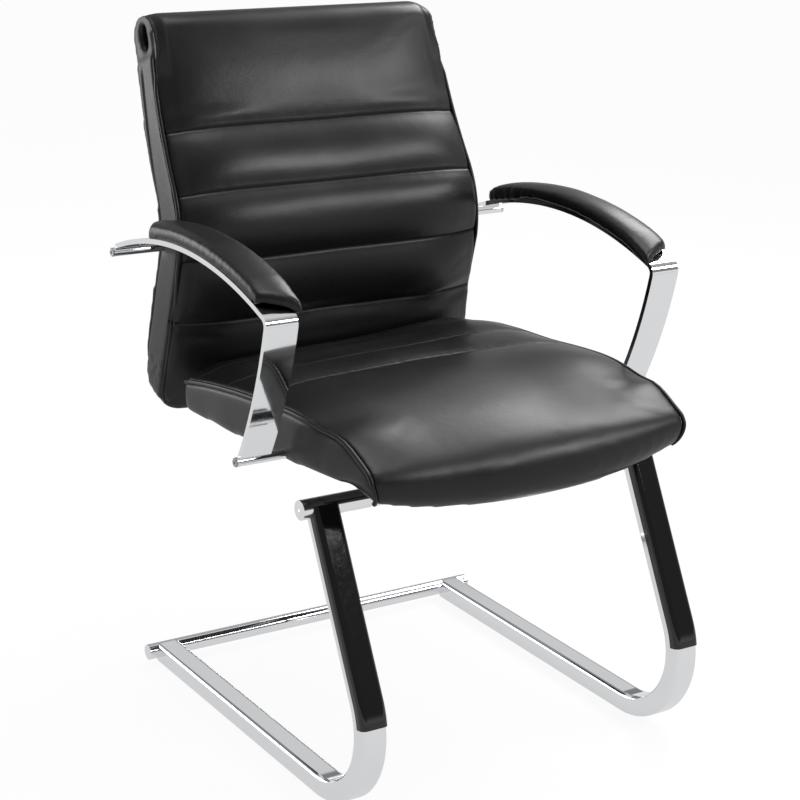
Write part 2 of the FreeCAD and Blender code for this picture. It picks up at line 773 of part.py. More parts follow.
def build_seat_cushion():
    """Crowned foam seat with a waterfall front, hollow below for the board, bored for the rod."""
    half_stations = ((1, 0, 0), (0.9, 0.4, 0.19), (0.5, 0.85, 0.75))
    left = [(-station, crown, nose) for station, crown, nose in half_stations]
    wires = []
    for station, crown, nose in left + [(0, 1, 1)] + list(half_stations[::-1]):
        x = station * seat_half
        wires.append(wire_in(seat_outline(crown, nose), lambda point: Vector(x, point[0], point[1])))
    cushion = Part.makeLoft(wires, True, False)
    gap = size("soft_gap")
    length = size("board_front") + size("board_rear") + 2 * gap
    width = size("board_width") + 2 * gap
    depth = 5 * size("skirt_depth")
    pocket = Part.makeBox(width, length, depth + size("board_thickness") + gap,
                          Vector(-width / 2, -size("board_front") - gap, -depth))
    upright = [edge for edge in pocket.Edges if edge.tangentAt(edge.FirstParameter).z ** 2 > 0.5]
    pocket = pocket.makeFillet(size("board_corner"), upright)
    nut_wells = cross_bores([((x, y, size("board_thickness")), (0, 0, 1)) for x, y in bolt_places],
                            size("tee_nut_diameter") / 2 + gap, 2 * (size("tee_nut_gauge") + gap))
    bore = rod_along_x(rod_radius + gap, 4 * seat_half, seat_rod_local)
    cushion = cushion.cut([pocket, bore] + nut_wells)
    cushion = cushion.cut(slit_tools(SEAT.inverse()))
    keep(solid_feature("seat_cushion", cushion, SEAT))


def slit_tools(placement):
    """Slits that let the back brackets through the upholstery."""
    gap = size("soft_gap")
    outline, _ = bracket_outline(gap, size("screw_head_height") + gap, gap)
    width = size("bracket_width") + 2 * gap
    tools = []
    for side in SIDES:
        start = side * bracket_x - width / 2
        face = Part.Face(wire_in(outline, lambda point: Vector(start, point[0], point[1])))
        tool = face.extrude(Vector(width, 0, 0))
        tools.append(tool.transformed(placement.toMatrix()))
    return tools


def build_seat_sides():
    """Flat side panels of the seat and the piping sewn along their upper edges."""
    piping = size("piping_diameter")
    rear = size("seat_rear")
    floor = -size("skirt_depth")
    front = seat_nose(0, 0)
    top_middle = (size("seat_apex"), size("seat_side_height") - size("seat_top_radius"))
    top_end = seat_top(rear, 0)

    def inset_run(inset):
        """Nose, shoulder and top arcs of the side, drawn in by a distance."""
        def drawn(centre, point):
            reach = math.hypot(point[0] - centre[0], point[1] - centre[1])
            return shift(centre, unit(centre, point), reach - inset)
        start = drawn(front.nose_middle, front.start)
        apex = drawn(top_middle, front.apex)
        return [
            arc_round(front.nose_middle, drawn(front.nose_middle, front.low), start),
            arc_round(front.shoulder_middle, start, apex),
            arc_round(top_middle, apex, drawn(top_middle, top_end)),
        ]

    edge_run = inset_run(piping + size("soft_gap"))
    top_rear, nose_low = edge_run[-1][-1], edge_run[0][0]
    under = seat_outline(0, 0)[0][1]
    heel = (top_rear[0], floor)
    body = new_body("seat_side_blank")
    side = new_sketch(body, "YZ_Plane", "seat_side",
                      [(heel, under), (under, nose_low)] + edge_run + [(top_rear, heel)])
    add_circle(side, seat_rod_local, "%s + 2 * %s" % (cell("rod_diameter"), cell("soft_gap")))
    body.Label = "seat_side_panel_right"
    add_pad(body, side, cell("panel_gauge"), midplane=False)
    body.Placement = SEAT.multiply(Placement(Vector(seat_half + size("soft_gap"), 0, 0), Rotation()))
    keep(body, mirrored("seat_side_panel_left", body))

    half_cord = piping / 2
    x = seat_half + size("soft_gap") + half_cord
    path = wire_in(inset_run(half_cord), lambda point: Vector(x, point[0], point[1]))
    right = solid_feature("seat_piping_right", cord_solid(path, half_cord), SEAT)
    keep(right, mirrored("seat_piping_left", right))


def cord_solid(path, radius):
    """Round cord swept along a smooth wire."""
    first = path.OrderedEdges[0]
    start = first.firstVertex(True).Point
    heading = first.tangentAt(first.FirstParameter)
    if first.Orientation == "Reversed":
        heading = -first.tangentAt(first.LastParameter)
    section = Part.Wire([Part.Circle(start, heading, radius).toShape()])
    return path.makePipeShell([section], True, False)


# Back: its front edge line is a straight lower run, a lumbar arc and a hollow upper arc
lumbar_radius = size("lumbar_radius")
upper_lean, top_lean = size("back_upper_lean"), size("back_top_lean")
lower_length = size("back_lower_length")
upper_radius = size("back_upper_radius")
lumbar_start = shift(back_foot, along(back_lean), lower_length)
lumbar_centre = shift(lumbar_start, behind(back_lean), lumbar_radius)
lumbar_end = shift(lumbar_centre, behind(upper_lean), -lumbar_radius)
upper_centre = shift(lumbar_end, behind(upper_lean), -upper_radius)
back_top = shift(upper_centre, behind(top_lean), upper_radius)
lumbar_length = lumbar_radius * math.radians(upper_lean - back_lean)
upper_length = upper_radius * math.radians(upper_lean - top_lean)
back_length = lower_length + lumbar_length + upper_length
roll_top_z = shift(back_top, along(top_lean), size("roll_height"))[1]
side_slope = (size("back_bottom_width") - size("back_top_width")) / 2 / (roll_top_z - back_foot[1])
side_angle = math.degrees(math.atan(side_slope))
back_rod = shift(lumbar_centre, behind(size("back_rod_lean")), -(lumbar_radius - board_depth - rod_radius))


def back_half(height):
    """Half the back's width at a height: the sides draw in towards the top."""
    return size("back_bottom_width") / 2 - side_slope * (height - back_foot[1])


def back_point(distance, depth):
    """Point at a distance up the front edge line and a depth behind it."""
    if distance <= lower_length:
        base, angle = shift(back_foot, along(back_lean), distance), back_lean
    elif distance <= lower_length + lumbar_length:
        angle = back_lean + math.degrees((distance - lower_length) / lumbar_radius)
        base = shift(lumbar_centre, behind(angle), -lumbar_radius)
    else:
        angle = upper_lean - math.degrees((distance - lower_length - lumbar_length) / upper_radius)
        base = shift(upper_centre, behind(angle), upper_radius)
    return shift(base, behind(angle), depth)


def back_run(start, depth_at):
    """Line and two arcs up the back from a distance, at a depth given along the way."""
    stops = (start, lower_length, lower_length + lumbar_length, back_length)
    edges = []
    for index, (near, far) in enumerate(zip(stops, stops[1:])):
        ends = [back_point(near, depth_at(near)), back_point(far, depth_at(far))]
        if index:
            middle = (near + far) / 2
            ends.insert(1, back_point(middle, depth_at(middle)))
        edges.append(tuple(ends))
    return edges


def reverse_run(edges):
    """The same run from its other end."""
    return [edge[::-1] for edge in edges[::-1]]


def closed_between(front, rear):
    """Closed outline from two upward runs."""
    return front + [(front[-1][-1], rear[-1][-1])] + reverse_run(rear) + [(rear[0][0], front[0][0])]


def rear_depth(distance):
    """Depth of the rear face of the back behind the front edge line."""
    low = board_depth + size("rear_pad_depth")
    high = board_depth + size("rear_pad_top_depth")
    level = lower_length + lumbar_length / 2
    share = max(0.0, (distance - level) / (back_length - level))
    return low + (high - low) * share


def back_place(station):
    """Puts a point of the back's side outline at a share of the half width."""
    return lambda point: Vector(station * back_half(point[1]), point[0], point[1])


back_seams = [size("back_seam_first") + i * size("back_rib_pitch") for i in range(4)]


def ribbed_front(share):
    """Front of the back cushion: an arc for each rib, swelling towards the middle."""
    crown = share * size("back_crown")
    bulge = (0.15 + 0.85 * share) * size("back_rib_bulge")
    stops = [0.0] + back_seams + [back_length]
    edges = []
    for near, far in zip(stops, stops[1:]):
        edges.append((back_point(near, -crown), back_point((near + far) / 2, -crown - bulge),
                      back_point(far, -crown)))
    return edges


def build_back_cushion():
    """Ribbed foam front of the back, face to face with the back board."""
    gap = size("soft_gap")
    rear = back_run(0.0, lambda distance: size("back_edge_depth") - gap)
    stations = ((-1, 0), (-0.9, 0.55), (0, 1), (0.9, 0.55), (1, 0))
    wires = [wire_in(closed_between(ribbed_front(share), rear), back_place(station))
             for station, share in stations]
    cushion = Part.makeLoft(wires, True, False)
    keep(solid_feature("back_cushion", cushion.cut(slit_tools(Placement()))))


def build_back_board():
    """Moulded plywood back board, bored for the bracket and saddle screws."""
    start = size("back_drop") + size("back_board_foot") + size("bracket_bend")
    blank = new_body("back_board_blank")
    side = new_sketch(blank, "YZ_Plane", "back_board_side", closed_between(
        back_run(start, lambda distance: size("back_edge_depth")),
        back_run(start, lambda distance: board_depth)))
    add_pad(blank, side, cell("back_board_width"))
    bore = size("screw_diameter") / 2 + size("hole_gap") / 2
    reach = 4 * size("back_board_thickness")
    back_bores = [place for place in bracket_bores if place[1] == back_in_space]
    drill = solid_feature("back_board_drills", Part.makeCompound(
        cross_bores(back_bores + saddle_bores, bore, reach)))
    board = doc.addObject("Part::Cut", "back_board")
    board.Label = "back_board"
    board.Base = blank
    board.Tool = drill
    keep(board)


# Saddles clip the back rod to the rear of the back board
saddle_angle = math.degrees(size("saddle_reach") / (lumbar_radius - board_depth))
saddle_leans = [size("back_rod_lean") + turn * saddle_angle for turn in SIDES]
saddle_x = size("saddle_spacing") / 2
saddle_half = 1.7 * size("saddle_reach")


def saddle_screw_point(angle, depth):
    """Point on the rear of the back board by a saddle foot, a depth behind it."""
    return shift(lumbar_centre, behind(angle), -(lumbar_radius - board_depth - depth))


saddle_bores = []
for angle in saddle_leans:
    forward = (0, -behind(angle)[0], -behind(angle)[1])
    for side in SIDES:
        saddle_bores.append(((side * saddle_x,) + saddle_screw_point(angle, 0), forward))


def build_saddles():
    """Pressed saddles over the back rod, with a foot above and below it, and their screws."""
    width = size("saddle_width")
    gauge = size("saddle_gauge")
    wall = lumbar_radius - board_depth
    start = Vector(saddle_x - width / 2, lumbar_centre[0], lumbar_centre[1])
    across = Vector(1, 0, 0)
    room = Part.makeCylinder(wall, width, start, across)
    ring = room.cut(Part.makeCylinder(wall - gauge, width, start, across))
    middle = saddle_screw_point(size("back_rod_lean"), 0)
    block = Part.makeBox(width, 4 * saddle_half, 2 * saddle_half,
                         Vector(-width / 2, -2 * saddle_half, -saddle_half))
    block.Placement = Placement(Vector(saddle_x, middle[0], middle[1]),
                                Rotation(Vector(1, 0, 0), -size("back_rod_lean")))
    bore = rod_along_x(rod_radius + size("hole_gap") / 2, 4 * saddle_x, back_rod)
    hoop = Part.makeCylinder(rod_radius + size("hole_gap") / 2 + gauge, width,
                             Vector(start.x, back_rod[0], back_rod[1]), across)
    saddle = ring.common(block).fuse(hoop.common(room)).cut(bore)
    drills = cross_bores(saddle_bores, size("screw_diameter") / 2 + size("hole_gap"), 6 * gauge)
    saddle = saddle.cut(drills).removeSplitter()
    right = solid_feature("saddle_right", saddle)
    pair = doc.addObject("Part::Compound", "rod_saddles")
    pair.Label = "rod_saddles"
    pair.Links = [right, mirrored("saddle_left", right)]
    keep(pair)
    length = gauge + size("screw_bite")
    template = screw("saddle_screw", "screw_diameter", "screw_head_diameter", "screw_head_height", length)
    places = []
    for angle in saddle_leans:
        forward = (0, -behind(angle)[0], -behind(angle)[1])
        point = saddle_screw_point(angle, gauge + size("hole_gap"))
        places += [facing((side * saddle_x,) + point, forward) for side in SIDES]
    keep(group("saddle_screws", template, places))


def foot_arc(depth, start, inner):
    """Round foot of the rear face: an arc from an inner depth out to the full depth."""
    top = size("rear_pad_foot")
    length, rise = top - start, depth - inner
    radius = (length ** 2 + rise ** 2) / (2 * rise)
    return arc_round(back_point(top, depth - radius), back_point(start, inner), back_point(top, depth))


def build_rear_panel():
    """Padded rear of the back, hollowed for the rod, its saddles and the brackets."""
    gap = size("soft_gap")
    inner = board_depth + gap
    full = rear_depth(size("rear_pad_foot"))
    rise = full - size("back_foot_depth")
    radius = (size("rear_pad_foot") ** 2 + rise ** 2) / (2 * rise)
    start = size("rear_pad_foot") - math.sqrt(radius ** 2 - (radius - (full - inner)) ** 2)
    front = back_run(start, lambda distance: inner)
    wires = []
    for station, share in ((-1, 0), (0, 1), (1, 0)):
        crown = share * size("rear_pad_crown")
        rear = back_run(size("rear_pad_foot"), lambda distance: rear_depth(distance) + crown)
        foot = foot_arc(full + crown, start, inner)
        outline = front + [(front[-1][-1], rear[-1][-1])] + reverse_run(rear) + [foot[::-1]]
        wires.append(wire_in(outline, back_place(station)))
    panel = Part.makeLoft(wires, True, False)
    groove = rod_along_x(rod_radius + size("saddle_gauge") + gap, 2 * size("back_bottom_width"), back_rod)
    deep = 2 * (size("saddle_gauge") + size("screw_head_height") + gap)
    tall = 2 * (saddle_half + 2 * gap)
    wide = size("saddle_width") + 4 * gap
    wells = []
    for side in SIDES:
        well = Part.makeBox(wide, deep, tall, Vector(-wide / 2, -deep / 2, -tall / 2))
        middle = saddle_screw_point(size("back_rod_lean"), size("saddle_gauge"))
        well.Placement = Placement(Vector(side * saddle_x, middle[0], middle[1]),
                                   Rotation(Vector(1, 0, 0), -size("back_rod_lean")))
        wells.append(well)
    panel = panel.cut([groove] + wells + slit_tools(Placement()))
    keep(solid_feature("back_rear_panel", panel))


def build_back_sides():
    """Side bands of the back, the piping along their front edges and the roll on top."""
    gap = size("soft_gap")
    piping = size("piping_diameter")
    turn = Rotation(Vector(0, 1, 0), -side_angle)

    def on_side(outset):
        """Placement of a flat side piece that leans in with the back's side."""
        return Placement(Vector(back_half(back_foot[1]) + outset, 0, back_foot[1]), turn)

    def lowered(edges):
        return [tuple((point[0], point[1] - back_foot[1]) for point in edge) for edge in edges]

    body = new_body("back_side_blank")
    front = back_run(0.0, lambda distance: piping + gap)
    rear = back_run(size("rear_pad_foot"), rear_depth)
    foot = foot_arc(rear_depth(size("rear_pad_foot")), 0.0, size("back_foot_depth"))
    band = new_sketch(body, "YZ_Plane", "back_side", lowered(
        front + [(front[-1][-1], rear[-1][-1])] + reverse_run(rear) + [foot[::-1], (foot[0], front[0][0])]))
    add_circle(band, (back_rod[0], back_rod[1] - back_foot[1]),
               "%s + 2 * %s" % (cell("rod_diameter"), cell("soft_gap")))
    body.Label = "back_side_band_right"
    add_pad(body, band, cell("panel_gauge"), midplane=False)
    body.Placement = on_side(gap)
    keep(body, mirrored("back_side_band_left", body))

    half_cord = piping / 2
    run = lowered(back_run(0.0, lambda distance: half_cord))
    tip = run[-1][-1]
    run.append((tip, shift(tip, along(top_lean), size("roll_height") / 2)))
    edges = []
    for edge in run:
        points = [Vector(0, point[0], point[1]) for point in edge]
        edges.append((Part.Arc(*points) if len(points) == 3 else Part.LineSegment(*points)).toShape())
    cord = cord_solid(Part.Wire(edges), half_cord)
    right = solid_feature("back_piping_right", cord, on_side(gap + half_cord))
    keep(right, mirrored("back_piping_left", right))

    depth = rear_depth(back_length) + size("roll_overhang")
    height = size("roll_height")

    def roll_point(up, back):
        return shift(shift(back_top, along(top_lean), up), behind(top_lean), back)

    def capsule(low, high, near, far, round_foot):
        """Outline with a round top, and a round foot where asked, in the roll's own directions."""
        radius = (far - near) / 2
        middle = (near + far) / 2
        top_centre = roll_point(high - radius, middle)
        crest = roll_point(high, middle)
        right, left = roll_point(high - radius, far), roll_point(high - radius, near)
        outline = [arc_round(top_centre, right, crest), arc_round(top_centre, crest, left)]
        if round_foot:
            foot_centre = roll_point(low + radius, middle)
            heel = roll_point(low, middle)
            left_foot, right_foot = roll_point(low + radius, near), roll_point(low + radius, far)
            outline += [(left, left_foot), arc_round(foot_centre, left_foot, heel),
                        arc_round(foot_centre, heel, right_foot), (right_foot, right)]
        else:
            left_foot, right_foot = roll_point(low, near), roll_point(low, far)
            outline += [(left, left_foot), (left_foot, right_foot), (right_foot, right)]
        return outline

    hole_near = (depth - size("roll_hole_depth")) / 2
    hole_low = (height - size("roll_hole_height")) / 2
    roll = new_body("back_top_roll")
    ring = new_sketch(roll, "YZ_Plane", "roll_ring", capsule(gap, height, 0, depth, False),
                      capsule(hole_low, height - hole_low, hole_near, depth - hole_near, True))
    add_pad(roll, ring, cell("back_top_width"))
    keep(roll)


def build_rods():
    """Rods across the chair that carry the arms, with a socket screw in each end."""
    length = "%s + %s + 2 * %s" % (cell("arm_spacing"), cell("ribbon_width"), cell("rod_overhang"))
    half = (size("arm_spacing") + size("ribbon_width")) / 2 + size("rod_overhang")
    for label, point in (("seat_cross_rod", seat_rod), ("back_cross_rod", back_rod)):
        body = new_body(label)
        section = new_sketch(body, "YZ_Plane", label + "_section")
        add_circle(section, (0, 0), cell("rod_diameter"))
        add_pad(body, section, length)
        core = new_sketch(body, "YZ_Plane", label + "_core")
        add_circle(core, (0, 0), "%s + %s" % (cell("rod_screw_shank"), cell("hole_gap")))
        add_pocket(body, core)
        plug = new_sketch(body, "YZ_Plane", label + "_plug")
        add_circle(plug, (0, 0), "%s + 2 * %s" % (cell("rod_screw_shank"), cell("hole_gap")))
        add_pad(body, plug, "%s - 2 * (%s + %s)" % (length, cell("rod_screw_length"), cell("rod_screw_spare")))
        body.Placement = Placement(Vector(0, point[0], point[1]), Rotation())
        keep(body)
    shank = size("rod_screw_shank") / 2
    head = size("rod_screw_head")
    socket = shank * 0.7
    template = turned("rod_end_screw", polygon([
        (0, 0.4 * head - head), (socket, 0.4 * head - head), (socket, -head), (rod_radius - head / 3, -head),
        (rod_radius, -head * 2 / 3), (rod_radius, 0), (shank, 0), (shank, size("rod_screw_length")),
        (0, size("rod_screw_length"))]))
    places = [facing((side * half, point[0], point[1]), (-side, 0, 0))
              for side in SIDES for point in (seat_rod, back_rod)]
    keep(group("rod_end_screws", template, places))


# Arms: a chrome ribbon arched from the back rod to a tight front bend and down to the seat rod
ribbon_thickness = size("ribbon_thickness")
arm_start = shift(back_rod, (0, 1), rod_radius + ribbon_thickness - size("ribbon_weld_sink"))
arm_corner = (back_rod[0] - size("arm_reach"), back_rod[1] + size("arm_corner_rise"))
arm_fall = unit(arm_corner, seat_rod)
arm_front = (arm_fall[1], -arm_fall[0])
arm_end = shift(seat_rod, arm_front, ribbon_thickness / 2)
arm_rise = unit(arm_corner, arm_start)
top_centre, top_radius = bulged_centre(arm_start, arm_corner, size("arm_crown"), (-arm_rise[1], arm_rise[0]))
low_centre, low_radius = bulged_centre(arm_corner, arm_end, size("arm_belly"), arm_front)


def bend_middle():
    """Centre of the small bend that touches both long arcs from inside."""
    inset = size("arm_bend_radius")
    reach_a, reach_b = top_radius - inset, low_radius - inset
    gap = math.hypot(low_centre[0] - top_centre[0], low_centre[1] - top_centre[1])
    step = (reach_a ** 2 - reach_b ** 2 + gap ** 2) / (2 * gap)
    rise = math.sqrt(reach_a ** 2 - step ** 2)
    line = unit(top_centre, low_centre)
    foot = shift(top_centre, line, step)
    options = [shift(foot, (-line[1], line[0]), turn * rise) for turn in SIDES]
    return min(options, key=lambda point: math.hypot(point[0] - arm_corner[0], point[1] - arm_corner[1]))


arm_bend = bend_middle()


def arm_polar(centre, radius, point):
    """Point on a circle in the direction of another point."""
    return shift(centre, unit(centre, point), radius)


def ribbon_run(depth):
    """The ribbon's three arcs at a depth below its outer face."""
    bend = size("arm_bend_radius")
    to_bend = arm_polar(top_centre, top_radius, arm_bend)
    from_bend = arm_polar(low_centre, low_radius, arm_bend)
    rear = arm_polar(top_centre, top_radius - depth, arm_start)
    first = arm_polar(arm_bend, bend - depth, to_bend)
    second = arm_polar(arm_bend, bend - depth, from_bend)
    low = arm_polar(low_centre, low_radius - depth, arm_end)
    return [arc_round(top_centre, rear, first), arc_round(arm_bend, first, second),
            arc_round(low_centre, second, low)]


def arm_angle(distance):
    """Direction from the top arc's centre at a distance back from the bend along the ribbon."""
    from_bend = arm_polar(top_centre, top_radius, arm_bend)
    angle = math.atan2(from_bend[1] - top_centre[1], from_bend[0] - top_centre[0]) - distance / top_radius
    return (math.cos(angle), math.sin(angle))


def arm_point(distance, height):
    """Point at a distance back from the bend and a height above the ribbon."""
    return shift(top_centre, arm_angle(distance), top_radius + height)


pad_start = size("pad_front_gap")
pad_end = pad_start + size("pad_length")
base_start = pad_start + size("pad_front_slant") + size("pad_base_inset")
base_end = pad_end - size("pad_rear_slant") - size("pad_base_inset")
pad_screw_rows = (base_start + size("pad_screw_inset"), base_end - size("pad_screw_inset"))
arm_x = size("arm_spacing") / 2


def pad_screw_places(height):
    """Pad screws of both arms: point and upward direction."""
    places = []
    for side in SIDES:
        for row in pad_screw_rows:
            direction = arm_angle(row)
            places.append(((side * arm_x,) + arm_point(row, height), (0,) + direction))
    return places


def build_arms():
    """Ribbon arms, their pad bases and the screws that come up through the ribbon."""
    blank = new_body("arm_ribbon_blank")
    outer, inner = ribbon_run(0), ribbon_run(ribbon_thickness)
    side = new_sketch(blank, "YZ_Plane", "ribbon_side", closed_between(outer, inner))
    add_pad(blank, side, cell("ribbon_width"))
    blank.setExpression("Placement.Base.x", cell("arm_spacing") + " / 2")
    rods = [rod_along_x(rod_radius, 2 * size("arm_spacing"), point) for point in (seat_rod, back_rod)]
    drills = cross_bores(pad_screw_places(0), size("pad_screw_diameter") / 2 + size("hole_gap"),
                         4 * ribbon_thickness)
    tool = solid_feature("ribbon_tools", Part.makeCompound(rods + drills))
    ribbon = doc.addObject("Part::Cut", "arm_ribbon_right")
    ribbon.Label = "arm_ribbon_right"
    ribbon.Base = blank
    ribbon.Tool = tool
    keep(ribbon, mirrored("arm_ribbon_left", ribbon))

    rise = size("pad_base_thickness")
    middle = (base_start + base_end) / 2
    strip = new_body("pad_base_blank")
    strip_side = new_sketch(strip, "YZ_Plane", "pad_base_side", [
        (arm_point(base_start, 0), arm_point(middle, 0), arm_point(base_end, 0)),
        (arm_point(base_end, 0), arm_point(base_end, rise)),
        (arm_point(base_end, rise), arm_point(middle, rise), arm_point(base_start, rise)),
        (arm_point(base_start, rise), arm_point(base_start, 0))])
    add_pad(strip, strip_side, cell("pad_base_width"))
    strip.setExpression("Placement.Base.x", cell("arm_spacing") + " / 2")
    strip_drill = solid_feature("pad_base_drills", Part.makeCompound(
        cross_bores(pad_screw_places(0), size("pad_screw_diameter") / 2 + size("hole_gap") / 2, 4 * rise)))
    base = doc.addObject("Part::Cut", "arm_pad_base_right")
    base.Label = "arm_pad_base_right"
    base.Base = strip
    base.Tool = strip_drill
    keep(base, mirrored("arm_pad_base_left", base))

    length = ribbon_thickness + 0.8 * rise
    template = screw("pad_screw", "pad_screw_diameter", "screw_head_diameter", "screw_head_height", length)
    places = [facing(point, direction) for point, direction in pad_screw_places(-ribbon_thickness)]
    keep(group("arm_pad_screws", template, places))


def pad_outline(share, station):
    """Side outline of an arm pad: flat below, arched above with round ends, ends slanted in plan."""
    low = size("pad_base_thickness") + size("soft_gap")
    high = low + size("pad_side_height") + share * (size("pad_thickness") - size("pad_side_height"))
    front = pad_start + station * size("pad_front_slant")
    rear = pad_end - station * size("pad_rear_slant")
    radius = (high - low) / 2
    middle = (front + rear) / 2
    near, far = front + radius, rear - radius
    level = (low + high) / 2
    edge = 0.3 * radius
    return [
        (arm_point(far, low), arm_point(middle, low), arm_point(near, low)),
        (arm_point(near, low), arm_point(front + edge, low + edge), arm_point(front, level)),
        (arm_point(front, level), arm_point(front + edge, high - edge), arm_point(near, high)),
        (arm_point(near, high), arm_point(middle, high), arm_point(far, high)),
        (arm_point(far, high), arm_point(rear - edge, high - edge), arm_point(rear, level)),
        (arm_point(rear, level), arm_point(rear - edge, low + edge), arm_point(far, low)),
    ]


def build_arm_pads():
    """Padded arm rests, crowned across, longer on the sitter's side."""
    half = size("pad_width") / 2
    wires = []
    for station, share in ((-1, 0), (-0.7, 0.75), (0, 1), (0.7, 0.75), (1, 0)):
        x = arm_x - size("pad_offset") + station * half
        wires.append(wire_in(pad_outline(share, station), lambda point: Vector(x, point[0], point[1])))
    right = solid_feature("arm_pad_right", Part.makeLoft(wires, True, False))
    keep(right, mirrored("arm_pad_left", right))


# Build in the order of assembly
build_side_frame()
build_cross_tube("front_cross_tube", "front_tube_diameter", front_point, "front_tube_caps")
build_cross_tube("rear_floor_tube", "rear_tube_diameter", rear_point, "rear_tube_caps")
build_leg_cover()
build_glides()
build_carriers()
build_seat_board()
build_seat_cushion()
build_seat_sides()
build_brackets()
build_back_board()
build_saddles()
build_back_cushion()
build_rear_panel()
build_back_sides()
build_rods()
build_arms()
build_arm_pads()
doc.recompute()

# Check and write
for item in doc.Objects:
    if "Invalid" in item.State or "Error" in item.State:
        raise RuntimeError("failed feature: %s %s" % (item.Name, item.State))
os.makedirs("parts", exist_ok=True)
for node in NODES:
    shape = node.Shape
    if shape.isNull() or not shape.isValid() or not shape.Solids:
        raise RuntimeError("bad shape: " + node.Label)
for node in NODES:
    node.Shape.exportStep("parts/%s.step" % node.Label)
    print("%-24s solids %d volume %.0f" % (node.Label, len(node.Shape.Solids), node.Shape.Volume))
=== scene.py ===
"""Cantilever visitor chair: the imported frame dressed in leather, chrome and gloss black plastic."""

import json
import logging
import math
from contextlib import contextmanager
from dataclasses import dataclass, field
from enum import Enum
from typing import Any, Callable, Iterator

import bmesh
import bpy
import numpy as np
from mathutils import Matrix, Vector, noise
from mathutils.bvhtree import BVHTree
from mathutils.kdtree import KDTree

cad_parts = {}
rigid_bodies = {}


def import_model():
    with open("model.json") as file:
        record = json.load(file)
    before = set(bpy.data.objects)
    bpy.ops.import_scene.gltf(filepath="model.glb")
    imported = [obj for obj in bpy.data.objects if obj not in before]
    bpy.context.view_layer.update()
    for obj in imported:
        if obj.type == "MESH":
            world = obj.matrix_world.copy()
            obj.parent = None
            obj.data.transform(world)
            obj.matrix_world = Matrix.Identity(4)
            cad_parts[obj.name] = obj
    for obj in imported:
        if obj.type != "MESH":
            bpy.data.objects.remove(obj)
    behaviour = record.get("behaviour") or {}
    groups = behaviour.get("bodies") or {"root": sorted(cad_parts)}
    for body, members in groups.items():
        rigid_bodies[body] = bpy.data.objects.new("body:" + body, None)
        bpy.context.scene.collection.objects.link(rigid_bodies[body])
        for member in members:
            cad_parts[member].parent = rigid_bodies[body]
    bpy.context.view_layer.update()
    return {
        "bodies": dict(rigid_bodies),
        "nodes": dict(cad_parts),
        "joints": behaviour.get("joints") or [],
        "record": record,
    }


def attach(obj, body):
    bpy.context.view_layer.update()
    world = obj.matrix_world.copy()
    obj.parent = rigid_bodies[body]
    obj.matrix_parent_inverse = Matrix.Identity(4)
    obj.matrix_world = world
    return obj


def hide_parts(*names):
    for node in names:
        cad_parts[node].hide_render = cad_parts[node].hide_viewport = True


LOG = logging.getLogger("chair")
Points = np.ndarray
Colour = tuple[float, float, float, float]
MM = 0.001
CLOTH_FRAMES = 20
HOLD_LEVELS = 10


class Slot(Enum):
    """The record's material slots."""

    CHROME = "chrome"
    GLOSS_BLACK = "gloss_black"
    LEATHER = "black_leather"
    PLYWOOD = "plywood"
    STEEL = "steel"
    NYLON = "nylon"


class Side(Enum):
    """The two sides of the chair, with the sign of X on each."""

    LEFT = -1
    RIGHT = 1

    @property
    def word(self) -> str:
        """Name ending of this side's pieces."""
        return self.name.lower()


def linear(hex_colour: str) -> Colour:
    """Turn an sRGB hex colour into a linear one.

    Args:
        hex_colour: colour such as "#1a1a1a".

    Returns:
        Linear red, green, blue and an alpha of 1.
    """
    shares = [int(hex_colour[i:i + 2], 16) / 255 for i in (1, 3, 5)]
    red, green, blue = (s / 12.92 if s <= 0.04045 else ((s + 0.055) / 1.055) ** 2.4 for s in shares)
    return red, green, blue, 1.0


def add_node(tree: bpy.types.NodeTree, kind: str, settings: dict[str, Any] | None = None,
             inputs: dict[Any, Any] | None = None) -> bpy.types.Node:
    """Add one node with its settings and links.

    Args:
        tree: node tree that gets the node.
        kind: node type name.
        settings: attributes to set on the node.
        inputs: socket name or index to a value, or to an output socket to link from.

    Returns:
        The new node.
    """
    made = tree.nodes.new(kind)
    for name, value in (settings or {}).items():
        setattr(made, name, value)
    for name, value in (inputs or {}).items():
        if isinstance(value, bpy.types.NodeSocket):
            tree.links.new(value, made.inputs[name])
        else:
            made.inputs[name].default_value = value
    return made


@dataclass(frozen=True)
class Finish:
    """A finish: a named material whose shader reads Object coordinates in metres."""

    name: str

    def start(self) -> tuple[bpy.types.Material, bpy.types.NodeTree, bpy.types.Node, bpy.types.NodeSocket]:
        """Make an empty node material.

        Returns:
            The material, its tree, its Principled shader and the Object coordinate socket.
        """
        material = bpy.data.materials.new(self.name)
        material.use_nodes = True
        tree = material.node_tree
        tree.nodes.clear()
        shader = add_node(tree, "ShaderNodeBsdfPrincipled")
        add_node(tree, "ShaderNodeOutputMaterial", inputs={"Surface": shader.outputs["BSDF"]})
        coords = add_node(tree, "ShaderNodeTexCoord").outputs["Object"]
        return material, tree, shader, coords


